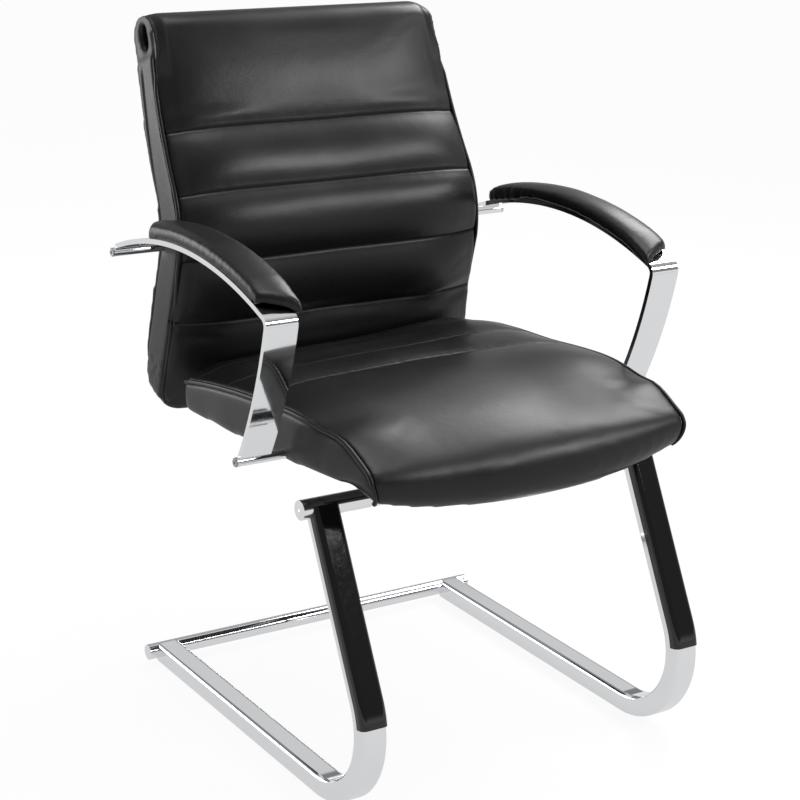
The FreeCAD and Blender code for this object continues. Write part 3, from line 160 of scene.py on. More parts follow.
@dataclass(frozen=True)
class Leather(Finish):
    """Corrected-grain cow leather, dyed through and pressed: black, with a soft broad sheen.

    The pressed pebbles are near 1 mm on the real hide; they are drawn at 2.2 mm so that they show.
    """

    colour: str = "#0b0b0b"
    rubbed: str = "#131313"
    # Painted shade: a near-black colour laid along the seams and beside the piping, for the shade in their
    # grooves.
    seam_shade_colour: str = "#010101"
    roughness: float = 0.36
    gloss: float = 0.35
    pebble_mm: float = 2.2
    crease_mm: float = 26.0
    cloud_mm: float = 120.0

    def make(self) -> bpy.types.Material:
        """Build the material: pebble and crease bump, cloudy sheen, and the seams painted dark as the
        shade in their grooves.
        """
        material, tree, shader, coords = self.start()
        cloud = add_node(tree, "ShaderNodeTexNoise", inputs={
            "Vector": coords, "Scale": 1000 / self.cloud_mm, "Detail": 3.0, "Roughness": 0.55})
        seam = add_node(tree, "ShaderNodeAttribute", {"attribute_name": "seam"})
        tone = add_node(tree, "ShaderNodeMix", {"data_type": "RGBA"}, {
            0: cloud.outputs["Fac"], 6: linear(self.colour), 7: linear(self.rubbed)})
        # Painted shade: the seam attribute darkens the leather to the seam colour, as groove shade.
        seam_shaded = add_node(tree, "ShaderNodeMix", {"data_type": "RGBA"}, {
            0: seam.outputs["Fac"], 6: tone.outputs[2], 7: linear(self.seam_shade_colour)})
        sheen = add_node(tree, "ShaderNodeMapRange", inputs={
            "Value": cloud.outputs["Fac"], "From Min": 0.3, "From Max": 0.7,
            "To Min": self.roughness - 0.03, "To Max": self.roughness + 0.05})
        dull = add_node(tree, "ShaderNodeMix", inputs={
            0: seam.outputs["Fac"], 2: sheen.outputs["Result"], 3: 0.95})
        pebble = add_node(tree, "ShaderNodeTexVoronoi", {"feature": "SMOOTH_F1"}, {
            "Vector": coords, "Scale": 1000 / self.pebble_mm, "Smoothness": 0.5})
        crease = add_node(tree, "ShaderNodeTexNoise", inputs={
            "Vector": coords, "Scale": 1000 / self.crease_mm, "Detail": 4.0, "Roughness": 0.6,
            "Distortion": 0.6})
        soft = add_node(tree, "ShaderNodeBump", inputs={
            "Height": crease.outputs["Fac"], "Strength": 0.2, "Distance": 1.2 * MM})
        grain = add_node(tree, "ShaderNodeBump", inputs={
            "Height": pebble.outputs["Distance"], "Strength": 0.22, "Distance": 0.25 * MM,
            "Normal": soft.outputs["Normal"]})
        tree.links.new(seam_shaded.outputs[2], shader.inputs["Base Color"])
        tree.links.new(dull.outputs[0], shader.inputs["Roughness"])
        tree.links.new(grain.outputs["Normal"], shader.inputs["Normal"])
        shader.inputs["IOR"].default_value = 1.5
        shader.inputs["Specular IOR Level"].default_value = self.gloss
        return material


@dataclass(frozen=True)
class Chrome(Finish):
    """Bright chrome plate on polished tube: a mirror with a trace of polishing haze."""

    colour: str = "#eeeff1"
    haze_mm: float = 45.0
    polish_mm: float = 14.0

    def make(self) -> bpy.types.Material:
        """Build the material: mirror metal with uneven haze and a slight wave."""
        material, tree, shader, coords = self.start()
        haze = add_node(tree, "ShaderNodeTexNoise", inputs={
            "Vector": coords, "Scale": 1000 / self.haze_mm, "Detail": 4.0})
        rough = add_node(tree, "ShaderNodeMapRange", inputs={
            "Value": haze.outputs["Fac"], "From Min": 0.3, "From Max": 0.75,
            "To Min": 0.035, "To Max": 0.1})
        wave = add_node(tree, "ShaderNodeTexNoise", inputs={
            "Vector": coords, "Scale": 1000 / self.polish_mm, "Detail": 1.0})
        bump = add_node(tree, "ShaderNodeBump", inputs={
            "Height": wave.outputs["Fac"], "Strength": 0.02, "Distance": 0.1 * MM})
        tree.links.new(rough.outputs["Result"], shader.inputs["Roughness"])
        tree.links.new(bump.outputs["Normal"], shader.inputs["Normal"])
        shader.inputs["Base Color"].default_value = linear(self.colour)
        shader.inputs["Metallic"].default_value = 1.0
        return material


@dataclass(frozen=True)
class GlossPlastic(Finish):
    """Injection-moulded ABS from a polished tool: deep black with sharp, slightly wavy reflections."""

    colour: str = "#0b0b0c"
    wave_mm: float = 18.0
    scuff_mm: float = 6.0

    def make(self) -> bpy.types.Material:
        """Build the material: gloss black with mould waviness and light scuffs."""
        material, tree, shader, coords = self.start()
        scuff = add_node(tree, "ShaderNodeTexNoise", inputs={
            "Vector": coords, "Scale": 1000 / self.scuff_mm, "Detail": 5.0, "Roughness": 0.7})
        rough = add_node(tree, "ShaderNodeMapRange", inputs={
            "Value": scuff.outputs["Fac"], "From Min": 0.35, "From Max": 0.8,
            "To Min": 0.05, "To Max": 0.14})
        wave = add_node(tree, "ShaderNodeTexNoise", inputs={
            "Vector": coords, "Scale": 1000 / self.wave_mm, "Detail": 1.0})
        bump = add_node(tree, "ShaderNodeBump", inputs={
            "Height": wave.outputs["Fac"], "Strength": 0.08, "Distance": 0.3 * MM})
        tree.links.new(rough.outputs["Result"], shader.inputs["Roughness"])
        tree.links.new(bump.outputs["Normal"], shader.inputs["Normal"])
        shader.inputs["Base Color"].default_value = linear(self.colour)
        shader.inputs["IOR"].default_value = 1.53
        return material


@dataclass(frozen=True)
class Plywood(Finish):
    """Beech plywood, rotary cut and stained black: dull and dark, with faint grain and layered edges."""

    colour: str = "#231f1b"
    dark: str = "#14110f"
    grain_mm: float = 3.0
    layer_mm: float = 1.6

    def make(self) -> bpy.types.Material:
        """Build the material: stretched grain over fine glue lines."""
        material, tree, shader, coords = self.start()
        stretched = add_node(tree, "ShaderNodeMapping", inputs={
            "Vector": coords, "Scale": (1.0, 0.06, 1.0)})
        grain = add_node(tree, "ShaderNodeTexNoise", inputs={
            "Vector": stretched.outputs["Vector"], "Scale": 1000 / self.grain_mm, "Detail": 5.0,
            "Roughness": 0.65})
        layers = add_node(tree, "ShaderNodeTexWave", {"bands_direction": "Z"}, {
            "Vector": coords, "Scale": 1000 / (20 * self.layer_mm), "Distortion": 1.5, "Detail": 2.0})
        mixed = add_node(tree, "ShaderNodeMath", {"operation": "MULTIPLY_ADD"}, {
            0: layers.outputs["Fac"], 1: 0.3, 2: grain.outputs["Fac"]})
        tone = add_node(tree, "ShaderNodeMix", {"data_type": "RGBA", "clamp_factor": True}, {
            0: mixed.outputs["Value"], 6: linear(self.dark), 7: linear(self.colour)})
        bump = add_node(tree, "ShaderNodeBump", inputs={
            "Height": grain.outputs["Fac"], "Strength": 0.2, "Distance": 0.2 * MM})
        tree.links.new(tone.outputs[2], shader.inputs["Base Color"])
        tree.links.new(bump.outputs["Normal"], shader.inputs["Normal"])
        shader.inputs["Roughness"].default_value = 0.62
        return material


@dataclass(frozen=True)
class ZincSteel(Finish):
    """Pressed mild steel with bright zinc plate: satin grey metal with a spangled haze."""

    colour: str = "#a9acb0"
    spangle_mm: float = 7.0
    scratch_mm: float = 1.2

    def make(self) -> bpy.types.Material:
        """Build the material: satin metal with spangle and fine scratches."""
        material, tree, shader, coords = self.start()
        spangle = add_node(tree, "ShaderNodeTexVoronoi", inputs={
            "Vector": coords, "Scale": 1000 / self.spangle_mm})
        rough = add_node(tree, "ShaderNodeMapRange", inputs={
            "Value": spangle.outputs["Distance"], "From Min": 0.0, "From Max": 0.8, "To Min": 0.28,
            "To Max": 0.42})
        stretched = add_node(tree, "ShaderNodeMapping", inputs={
            "Vector": coords, "Scale": (1.0, 0.08, 1.0)})
        scratch = add_node(tree, "ShaderNodeTexNoise", inputs={
            "Vector": stretched.outputs["Vector"], "Scale": 1000 / self.scratch_mm, "Detail": 2.0})
        bump = add_node(tree, "ShaderNodeBump", inputs={
            "Height": scratch.outputs["Fac"], "Strength": 0.12, "Distance": 0.1 * MM})
        tree.links.new(rough.outputs["Result"], shader.inputs["Roughness"])
        tree.links.new(bump.outputs["Normal"], shader.inputs["Normal"])
        shader.inputs["Base Color"].default_value = linear(self.colour)
        shader.inputs["Metallic"].default_value = 1.0
        return material


@dataclass(frozen=True)
class Nylon(Finish):
    """Moulded nylon from an eroded tool: dull black with a fine spark texture."""

    colour: str = "#141414"
    spark_mm: float = 0.9

    def make(self) -> bpy.types.Material:
        """Build the material: dull black with spark-eroded texture."""
        material, tree, shader, coords = self.start()
        spark = add_node(tree, "ShaderNodeTexNoise", inputs={
            "Vector": coords, "Scale": 1000 / self.spark_mm, "Detail": 2.0})
        bump = add_node(tree, "ShaderNodeBump", inputs={
            "Height": spark.outputs["Fac"], "Strength": 0.3, "Distance": 0.2 * MM})
        rough = add_node(tree, "ShaderNodeMapRange", inputs={
            "Value": spark.outputs["Fac"], "To Min": 0.45, "To Max": 0.6})
        tree.links.new(rough.outputs["Result"], shader.inputs["Roughness"])
        tree.links.new(bump.outputs["Normal"], shader.inputs["Normal"])
        shader.inputs["Base Color"].default_value = linear(self.colour)
        return material


FINISHES: dict[Slot, Finish] = {
    Slot.CHROME: Chrome("bright_chrome_plate"),
    Slot.GLOSS_BLACK: GlossPlastic("polished_black_abs"),
    Slot.LEATHER: Leather("black_pressed_leather"),
    Slot.PLYWOOD: Plywood("black_stained_plywood"),
    Slot.STEEL: ZincSteel("zinc_plated_steel"),
    Slot.NYLON: Nylon("spark_textured_nylon"),
}


def add_object(name: str, data: Any) -> bpy.types.Object:
    """Put a new object with some data in the scene."""
    obj = bpy.data.objects.new(name, data)
    bpy.context.scene.collection.objects.link(obj)
    return obj


def points_of(mesh: bpy.types.Mesh) -> Points:
    """Read a mesh's points as rows of x, y, z."""
    flat = np.empty(3 * len(mesh.vertices), np.float32)
    mesh.vertices.foreach_get("co", flat)
    return flat.reshape(-1, 3).astype(float)


def normals_of(mesh: bpy.types.Mesh) -> Points:
    """Read a mesh's point normals as rows of x, y, z."""
    flat = np.empty(3 * len(mesh.vertices), np.float32)
    mesh.vertex_normals.foreach_get("vector", flat)
    return flat.reshape(-1, 3).astype(float)


def place_points(mesh: bpy.types.Mesh, points: Points) -> None:
    """Write points back to a mesh."""
    mesh.vertices.foreach_set("co", points.astype(np.float32).ravel())
    mesh.update()


def ease(value: Points | float, low: float, high: float) -> Points:
    """Smooth step from 0 at low to 1 at high."""
    share = np.clip((np.asarray(value, float) - low) / (high - low), 0, 1)
    return share * share * (3 - 2 * share)


def bell(away: Points, width: float) -> Points:
    """Bell curve: 1 at no distance, about a third at the width."""
    return np.exp(-(away / width) ** 2)


def ripple(points: Points, length: float, seed: float) -> Points:
    """Smooth noise between -1 and 1 at each point.

    Args:
        points: rows of x, y, z in metres.
        length: size of a ripple in metres.
        seed: shift that gives another pattern.

    Returns:
        One value for each point.
    """
    return np.array([noise.noise(Vector(p) / length + Vector((seed, seed, seed))) for p in points])


@dataclass
class SoftPiece:
    """An upholstered piece, made from copies of the solids that it covers.

    Args:
        name: name of the piece.
        nodes: solids that it stands for.
        voxel: mesh size in metres.
        cap: furthest that stuffing may move the cover, in metres.
        fill: how tight the stuffing is, from 0 to 1; not used.
        core: solids inside that back the cover, each with a shift in metres.
    """

    name: str
    nodes: tuple[str, ...]
    voxel: float = 5 * MM
    cap: float = 5 * MM
    fill: float = 0.8
    core: tuple[tuple[str, tuple[float, float, float]], ...] = ()
    obj: bpy.types.Object = field(init=False)

    def cut(self, frame: dict[str, Any]) -> None:
        """Copy and join the solids, and merge their loose triangles."""
        shell = bmesh.new()
        for name, shift in tuple((name, (0.0, 0.0, 0.0)) for name in self.nodes) + self.core:
            known = len(shell.verts)
            shell.from_mesh(frame["nodes"][name].data)
            shell.verts.ensure_lookup_table()
            bmesh.ops.translate(shell, verts=shell.verts[known:], vec=shift)
        bmesh.ops.remove_doubles(shell, verts=shell.verts, dist=0.01 * MM)
        mesh = bpy.data.meshes.new(self.name)
        shell.to_mesh(mesh)
        shell.free()
        self.obj = add_object(self.name, mesh)

    def baked(self) -> bpy.types.Mesh:
        """Mesh of the piece with its modifiers."""
        graph = bpy.context.evaluated_depsgraph_get()
        return bpy.data.meshes.new_from_object(self.obj.evaluated_get(graph))

    def settle(self) -> None:
        """Apply the modifiers of the piece."""
        mesh = self.baked()
        self.obj.modifiers.clear()
        self.obj.data = mesh
        mesh.name = self.name

    def remesh(self) -> None:
        """Turn the copy into an even skin."""
        remesher = self.obj.modifiers.new("skin", "REMESH")
        remesher.mode = "VOXEL"
        remesher.voxel_size = self.voxel
        self.settle()
        self.drop_islands()
        self.smooth(2)

    @contextmanager
    def skin(self) -> Iterator[bmesh.types.BMesh]:
        """The skin as a bmesh, written back at the end."""
        skin = bmesh.new()
        skin.from_mesh(self.obj.data)
        yield skin
        skin.to_mesh(self.obj.data)
        skin.free()

    def surface(self) -> tuple[Points, Points]:
        """The skin's points and their normals."""
        return points_of(self.obj.data), normals_of(self.obj.data)

    def drop_islands(self) -> None:
        """Keep the largest closed skin, and drop the small ones of hollows inside."""
        with self.skin() as skin:
            left = set(skin.verts)
            islands = []
            while left:
                island, edge = set(), [left.pop()]
                while edge:
                    vert = edge.pop()
                    island.add(vert)
                    near = [e.other_vert(vert) for e in vert.link_edges]
                    fresh = [v for v in near if v in left]
                    left.difference_update(fresh)
                    edge.extend(fresh)
                islands.append(island)
            islands.sort(key=len)
            for island in islands[:-1]:
                bmesh.ops.delete(skin, geom=list(island), context="VERTS")

    def smooth(self, rounds: int) -> None:
        """Relax the skin."""
        with self.skin() as skin:
            for _ in range(rounds):
                bmesh.ops.smooth_vert(skin, verts=skin.verts, factor=0.5, use_axis_x=True, use_axis_y=True,
                                      use_axis_z=True)

    def stuff(self, hold: Points, pressure: float = 4.0) -> None:
        """Press the cover out from inside with a cloth simulation, and keep its result.

        Args:
            hold: share from 0, free, to 1, sewn down, for each point.
            pressure: push of the stuffing.
        """
        before = points_of(self.obj.data)
        group = self.obj.vertex_groups.new(name="sewn")
        for level in range(1, HOLD_LEVELS + 1):
            chosen = np.nonzero(np.round(HOLD_LEVELS * hold) == level)[0]
            group.add([int(i) for i in chosen], level / HOLD_LEVELS, "REPLACE")
        cloth = self.obj.modifiers.new("cover", "CLOTH")
        cloth.settings.quality = 4
        cloth.settings.mass = 0.3
        cloth.settings.tension_stiffness = 20
        cloth.settings.compression_stiffness = 20
        cloth.settings.bending_stiffness = 2
        cloth.settings.use_pressure = True
        cloth.settings.uniform_pressure_force = pressure
        cloth.settings.vertex_group_mass = group.name
        cloth.settings.effector_weights.gravity = 0
        cloth.point_cache.frame_start = 1
        cloth.point_cache.frame_end = CLOTH_FRAMES
        scene = bpy.context.scene
        for step in range(1, CLOTH_FRAMES + 1):
            scene.frame_set(step)
        after = points_of(self.baked())
        scene.frame_set(1)
        self.obj.modifiers.clear()
        self.obj.vertex_groups.clear()
        move = after - before
        length = np.linalg.norm(move, axis=1)
        share = (1 - hold) * np.minimum(1, self.cap / np.maximum(length, 1e-9))
        place_points(self.obj.data, before + move * share[:, None])

    def refine(self) -> None:
        """Divide the skin once, smoothly."""
        divider = self.obj.modifiers.new("finer", "SUBSURF")
        divider.levels = divider.render_levels = 1
        self.settle()

    def refine_near(self, chosen: Points) -> None:
        """Divide the skin once more between chosen points, so that seams come out crisp."""
        with self.skin() as skin:
            edges = [edge for edge in skin.edges if all(chosen[vert.index] for vert in edge.verts)]
            bmesh.ops.subdivide_edges(skin, edges=edges, cuts=1, use_grid_fill=True)

    def shape(self, move: Callable[[Points, Points], Points]) -> None:
        """Move the points by a function of the points and their normals."""
        place_points(self.obj.data, move(*self.surface()))

    def mark_seams(self, seam: Points) -> None:
        """Store how much of a seam lies at each point; the leather paints these places dark, as the shade
        in the seam's groove, and duller.
        """
        share = self.obj.data.attributes.new("seam", "FLOAT", "POINT")
        share.data.foreach_set("value", seam.astype(np.float32))

    def finish(self, material: bpy.types.Material, padded: bool = True) -> None:
        """Smooth shading, leather, and the piece's place in the part."""
        mesh = self.obj.data
        mesh.polygons.foreach_set("use_smooth", [True] * len(mesh.polygons))
        mesh.materials.clear()
        mesh.materials.append(material)
        mesh.update()
        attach(self.obj, "root")
        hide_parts(*self.nodes)
        LOG.info("%s: %d faces", self.name, len(mesh.polygons))


def pressed(points: Points, normals: Points, away: Points, width: float, depth: float) -> Points:
    """Sink points towards a seam.

    Args:
        points: rows of x, y, z.
        normals: their normals.
        away: distance of each point from the seam.
        width: half width of the dip.
        depth: depth of the dip at the seam.

    Returns:
        The moved points.
    """
    return points - normals * (depth * bell(away, width))[:, None]


def gap_to(points: Points, frame: dict[str, Any], *names: str) -> Points:
    """Distance of each point from the surface of the nearest of some solids."""
    gaps = []
    for name in names:
        mesh = frame["nodes"][name].data
        corners_of = [tuple(face.vertices) for face in mesh.polygons]
        tree = BVHTree.FromPolygons([vert.co for vert in mesh.vertices], corners_of)
        gaps.append([tree.find_nearest(Vector(point))[3] for point in points])
    return np.min(gaps, axis=0)


@dataclass(frozen=True)
class Fold:
    """A crease in the cover: a line, with the height and half width of its ridge."""

    start: tuple[float, float, float]
    end: tuple[float, float, float]
    height: float
    width: float

    def lift(self, points: Points) -> Points:
        """How far the fold lifts each point along its normal."""
        start, end = np.array(self.start), np.array(self.end)
        run = end - start
        share = np.clip((points - start) @ run / (run @ run), 0, 1)
        away = np.linalg.norm(points - start - share[:, None] * run, axis=1)
        swell = np.sin(math.pi * np.clip(0.04 + 0.92 * share, 0, 1))
        return self.height * swell * bell(away, self.width)


@dataclass
class Seat:
    """The seat: crowned cushion with a waterfall front, side panels and piping.

    Lengths are in metres, along the seat from its own origin, which is tilted rear down.
    """

    origin_y: float = -0.2005
    origin_z: float = 0.4309
    tilt: float = math.radians(3.5)
    seams: tuple[float, ...] = (0.153, 0.245, 0.337)
    half_width: float = 0.242
    widest: float = 0.110
    rear_draw: float = 0.022
    front_draw: float = 0.012
    nose_tuck: float = 0.050
    fullness: float = 0.009
    fullest: float = 42.0
    seam_bow: float = 0.006
    cord_press: float = 1.2 * MM
    cord_end: float = 6 * MM
    side_fit: float = 2.2 * MM
    shoulder: tuple[float, float] = (0.0, -0.010)
    rear_lift: float = 0.013
    edge_lift: float = 0.005
    left_draw: float = 0.040
    left_reach: float = 0.009
    rear_bulge: float = 0.014

    def along(self, points: Points) -> tuple[Points, Points]:
        """Place along the seat and height over the board, for each point."""
        y, z = points[:, 1] - self.origin_y, points[:, 2] - self.origin_z
        cos, sin = math.cos(self.tilt), math.sin(self.tilt)
        return y * cos - z * sin, y * sin + z * cos

    def form(self, points: Points, normals: Points) -> Points:
        """Fill the front shoulders, draw the sides in as the sewn cover does and tuck the nose under.

        The seat in the photograph isn't even: its left front is drawn in and its right rear stands higher.
        """
        run, height = self.along(points)
        outer = ease(np.abs(points[:, 0]), 0.12, 0.24)
        turn = np.degrees(np.arctan2(height - self.shoulder[1], self.shoulder[0] - run))
        full = self.fullness * bell(turn - self.fullest, 30.0) * outer
        out = self.moved(points, -full * np.cos(np.radians(turn)), full * np.sin(np.radians(turn)))
        rear = np.clip((run - self.widest) / 0.252, 0, 1.1) ** 2 * self.rear_draw
        front = np.clip((self.widest - run) / 0.230, 0, 1.1) ** 2 * self.front_draw
        tuck = self.nose_tuck * ease(-height, 0.0, 0.045) * ease(-run, 0.02, 0.08)
        left = ease(-points[:, 0], 0.10, 0.24)
        pinch = self.left_draw * left * ease(-run, -0.06, 0.08)
        out[:, 0] *= 1 + outer * (0.006 - rear - front - tuck) - pinch
        upper = ease(height, -0.01, 0.03)
        lift_left, lift_right = ease(-points[:, 0], 0.0, 0.25), ease(points[:, 0], -0.06, 0.25)
        crest = lift_left * bell(run - 0.02, 0.07) + lift_right * ease(run, -0.06, 0.06)
        corner = ease(points[:, 0], 0.0, 0.22) * ease(run, 0.17, 0.33)
        forward = self.left_reach * left * ease(-run, -0.02, 0.08)
        bulge = self.rear_bulge * (1 - ease(np.abs(points[:, 0]), 0.19, 0.24)) * ease(run, 0.30, 0.36)
        return self.moved(out, bulge - forward, upper * (self.edge_lift * crest + self.rear_lift * corner))

    def moved(self, points: Points, along: Points, up: Points) -> Points:
        """Points moved in the seat's own directions."""
        cos, sin = math.cos(self.tilt), math.sin(self.tilt)
        out = points.copy()
        out[:, 1] += along * cos + up * sin
        out[:, 2] += up * cos - along * sin
        return out

    def fit(self, points: Points, normals: Points) -> Points:
        """Bring the sides of the skin out to the piping."""
        out = points.copy()
        out[:, 0] += np.sign(points[:, 0]) * self.side_fit * ease(np.abs(points[:, 0]), 0.222, 0.238)
        return out

    def sink(self, points: Points, normals: Points) -> Points:
        """Press a cord into the edge of the cover, and turn its rear end in."""
        run, _ = self.along(points)
        out = points.copy()
        out[:, 0] -= np.sign(points[:, 0]) * self.cord_press
        return self.moved(out, -self.cord_end * ease(run, 0.345, 0.362), 0 * run)

    def bow(self, points: Points) -> Points:
        """How far the cross seams bow forward at each point's place across the seat."""
        return self.seam_bow * (points[:, 0] / self.half_width) ** 2

    def sew(self, points: Points, normals: Points) -> Points:
        """Sink the cross seams of the rear half, with light puckers beside them."""
        run, _ = self.along(points)
        top = ease(normals[:, 2], 0.3, 0.7) * ease(self.half_width - np.abs(points[:, 0]), 0.0, 0.03)
        for index, seam in enumerate(self.seams):
            away = run - seam + self.bow(points)
            dip = pressed(points, normals, away, 10 * MM, 1.3 * MM)
            dip = pressed(dip, normals, away, 1.8 * MM, 0.8 * MM)
            pucker = ripple(points * np.array([1, 0.25, 0.25]), 11 * MM, 3.0 + index)
            near = 0.5 * MM * pucker * bell(away, 13 * MM)
            points = points + (dip - points) * top[:, None] + normals * (near * top)[:, None]
        return points

    def seam_shade_share(self, points: Points, normals: Points) -> Points:
        """Share of seam at each point, which the leather paints dark as groove shade."""
        run, _ = self.along(points)
        top = ease(normals[:, 2], 0.3, 0.7)
        shares = [bell(run - seam + self.bow(points), 1.3 * MM) for seam in self.seams]
        return 0.7 * top * np.max(shares, axis=0)

    def wear(self, points: Points, normals: Points) -> Points:
        """Long shallow hollows of a used leather seat."""
        run, _ = self.along(points)
        slow = ripple(points * np.array([1, 1, 0.5]), 90 * MM, 7.0)
        quick = ripple(points * np.array([1, 0.5, 0.5]), 30 * MM, 9.0)
        rear = ease(run, 0.12, 0.2)
        return points + normals * ((0.3 + 0.4 * rear) * MM * slow + 0.4 * MM * quick * rear)[:, None]

    def build(self, frame: dict[str, Any], leather: bpy.types.Material) -> None:
        """Make the cushion with its side panels, and the piping on both sides."""
        nodes = ("seat_cushion", "seat_side_panel_left", "seat_side_panel_right")
        pad = SoftPiece("seat_upholstery", nodes, voxel=5 * MM, cap=5 * MM, fill=0.85)
        pad.cut(frame)
        pad.remesh()
        points, normals = pad.surface()
        run, _ = self.along(points)
        edge = 1 - ease(self.half_width - np.abs(points[:, 0]), 0.004, 0.03)
        below = 1 - ease(normals[:, 2] + 0.6 * ease(-run, 0.05, 0.09), -0.1, 0.35)
        sewn = np.max([bell(run - seam, 5 * MM) for seam in self.seams], axis=0)
        pad.stuff(np.clip(np.maximum(edge, np.maximum(below, sewn)), 0, 1), pressure=4.0)
        pad.smooth(8)
        pad.refine()
        pad.shape(self.fit)
        pad.shape(self.wear)
        points, normals = pad.surface()
        run, _ = self.along(points)
        sewn = np.min([np.abs(run - seam) for seam in self.seams], axis=0) + 0.05 * (normals[:, 2] < 0.3)
        cords = tuple("seat_piping_" + side.word for side in Side)
        pad.refine_near(np.minimum(sewn, gap_to(points, frame, *cords)) < 9 * MM)
        gap = gap_to(points_of(pad.obj.data), frame, *cords)
        pad.shape(lambda points, normals: pressed(points, normals, gap, 2.4 * MM, 1.0 * MM))
        pad.shape(self.sew)
        # Painted shade: the seams and a thin line beside each piping cord are marked to be darkened.
        seam = self.seam_shade_share(*pad.surface())
        pad.mark_seams(np.maximum(seam, 0.9 * bell(gap, 1.5 * MM)))
        pad.shape(self.form)
        pad.finish(leather)
        for side in Side:
            cord = SoftPiece("seat_welt_" + side.word, ("seat_piping_" + side.word,))
            cord.cut(frame)
            cord.shape(self.sink)
            cord.shape(self.form)
            cord.finish(leather, padded=False)


@dataclass
class Back:
    """The back: ribbed front, side bands, padded rear, piping and the roll on top.

    The front edge line runs straight up from the foot, bends back at the lumbar and leans on to the top.
    """

    foot: tuple[float, float] = (0.2162, 0.3831)
    lower_lean: float = math.radians(-11.2)
    lower_length: float = 0.200
    lumbar_radius: float = 0.150
    upper_lean: float = math.radians(33.0)
    upper_radius: float = 0.700
    seams: tuple[float, ...] = (0.1233, 0.2116, 0.2999, 0.3882)
    bottom_half: float = 0.245
    top_half: float = 0.221
    length: float = 0.4929
    top_lean: float = math.radians(18.5)
    crown: float = 0.012
    roll_middle: float = 0.5259
    roll_radius: float = 0.029
    tunnel: tuple[float, float] = (0.3128, 0.8695)
    foot_drop: float = 0.010
    foot_round: float = 0.030
    hem_drop: float = 0.026
    hem_out: float = 3 * MM
    top_swell: float = 0.008
    end_drop_left: float = 0.003
    end_drop_right: float = 0.010
    side_fit: float = 2.4 * MM
    rear_fit: float = 2.0 * MM
    bead_height: float = 1.5 * MM
    band_depth: float = 0.056
    band_taper: float = 0.020
    station: float = 0.002
    folds: tuple[Fold, ...] = (
        Fold((0.235, 0.19, 0.525), (0.12, 0.17, 0.495), 3.6 * MM, 10 * MM),
        Fold((0.238, 0.19, 0.495), (0.16, 0.18, 0.482), -3.0 * MM, 7 * MM),
        Fold((0.225, 0.18, 0.560), (0.17, 0.17, 0.535), -1.8 * MM, 7 * MM),
        Fold((-0.235, 0.19, 0.520), (-0.15, 0.17, 0.500), 2.0 * MM, 10 * MM),
        Fold((-0.238, 0.195, 0.488), (-0.17, 0.18, 0.478), -1.8 * MM, 8 * MM),
    )

    def stations(self) -> tuple[Points, Points, Points]:
        """Sample the front edge line.

        Returns:
            Distances up the line, points (y, z) on it, and lean angles.
        """
        run = np.arange(-0.03, 0.60, self.station)
        bend = self.lumbar_radius * (self.upper_lean - self.lower_lean)
        lean = np.where(run < self.lower_length, self.lower_lean,
                        np.minimum(self.lower_lean + (run - self.lower_length) / self.lumbar_radius,
                                   self.upper_lean))
        upper = run > self.lower_length + bend
        bent = self.upper_lean - (run - self.lower_length - bend) / self.upper_radius
        lean = np.where(upper, np.maximum(bent, self.top_lean), lean)
        step = self.station * np.stack([np.sin(lean), np.cos(lean)], axis=1)
        line = np.cumsum(step, axis=0) - 0.5 * step
        start = np.argmin(np.abs(run))
        return run, line - line[start] + np.array(self.foot), lean

    def unrolled(self, points: Points) -> tuple[Points, Points, Points]:
        """Distance up the back, depth behind the front edge line and lean, for each point."""
        run, line, lean = self.stations()
        tree = KDTree(len(line))
        for index, (y, z) in enumerate(line):
            tree.insert((0.0, y, z), index)
        tree.balance()
        found = np.array([tree.find((0.0, y, z))[1] for y, z in points[:, 1:].tolist()])
        off = points[:, 1:] - line[found]
        angle = lean[found]
        up = off[:, 0] * np.sin(angle) + off[:, 1] * np.cos(angle)
        depth = off[:, 0] * np.cos(angle) - off[:, 1] * np.sin(angle)
        return run[found] + up, depth, angle

    def half_at(self, points: Points) -> Points:
        """Half the back's width at each point's height."""
        share = np.clip((points[:, 2] - self.foot[1]) / 0.46, 0, 1.1)
        return self.bottom_half + (self.top_half - self.bottom_half) * share

    def front_share(self, normals: Points, angle: Points) -> Points:
        """1 where the cover faces forward, 0 elsewhere."""
        facing = -(normals[:, 1] * np.cos(angle) - normals[:, 2] * np.sin(angle))
        return ease(facing, 0.25, 0.6)

    def sew(self, points: Points, normals: Points) -> Points:
        """Sink the cross channels and pucker the leather beside them."""
        run, _, angle = self.unrolled(points)
        front = self.front_share(normals, angle)
        for index, seam in enumerate(self.seams):
            away = run - seam
            dip = pressed(points, normals, away, 12 * MM, 1.2 * MM)
            dip = pressed(dip, normals, away, 1.8 * MM, 1.8 * MM)
            pucker = ripple(points * np.array([1, 0.2, 0.2]), 13 * MM, 1.0 + index)
            near = 0.25 * MM * pucker * bell(away, 15 * MM)
            points = points + (dip - points) * front[:, None] + normals * (near * front)[:, None]
        return points

    def seam_shade_share(self, points: Points, normals: Points) -> Points:
        """Share of seam at each point of the front, which the leather paints dark as groove shade."""
        run, _, angle = self.unrolled(points)
        shares = [bell(run - seam, 1.4 * MM) for seam in self.seams]
        return self.front_share(normals, angle) * np.max(shares, axis=0)

    def wear(self, points: Points, normals: Points) -> Points:
        """Slow hollows in the leather, and folds where the cover meets the seat."""
        run, _, angle = self.unrolled(points)
        slow = ripple(points * np.array([1, 0.6, 0.6]), 80 * MM, 21.0)
        low = 1 - ease(run, 0.05, 0.16)
        quick = ripple(points * np.array([0.6, 1, 1]), 34 * MM, 23.0)
        lift = 0.9 * MM * slow + 0.8 * MM * quick * low
        for fold in self.folds:
            lift = lift + fold.lift(points)
        return points + normals * (lift * self.front_share(normals, angle))[:, None]

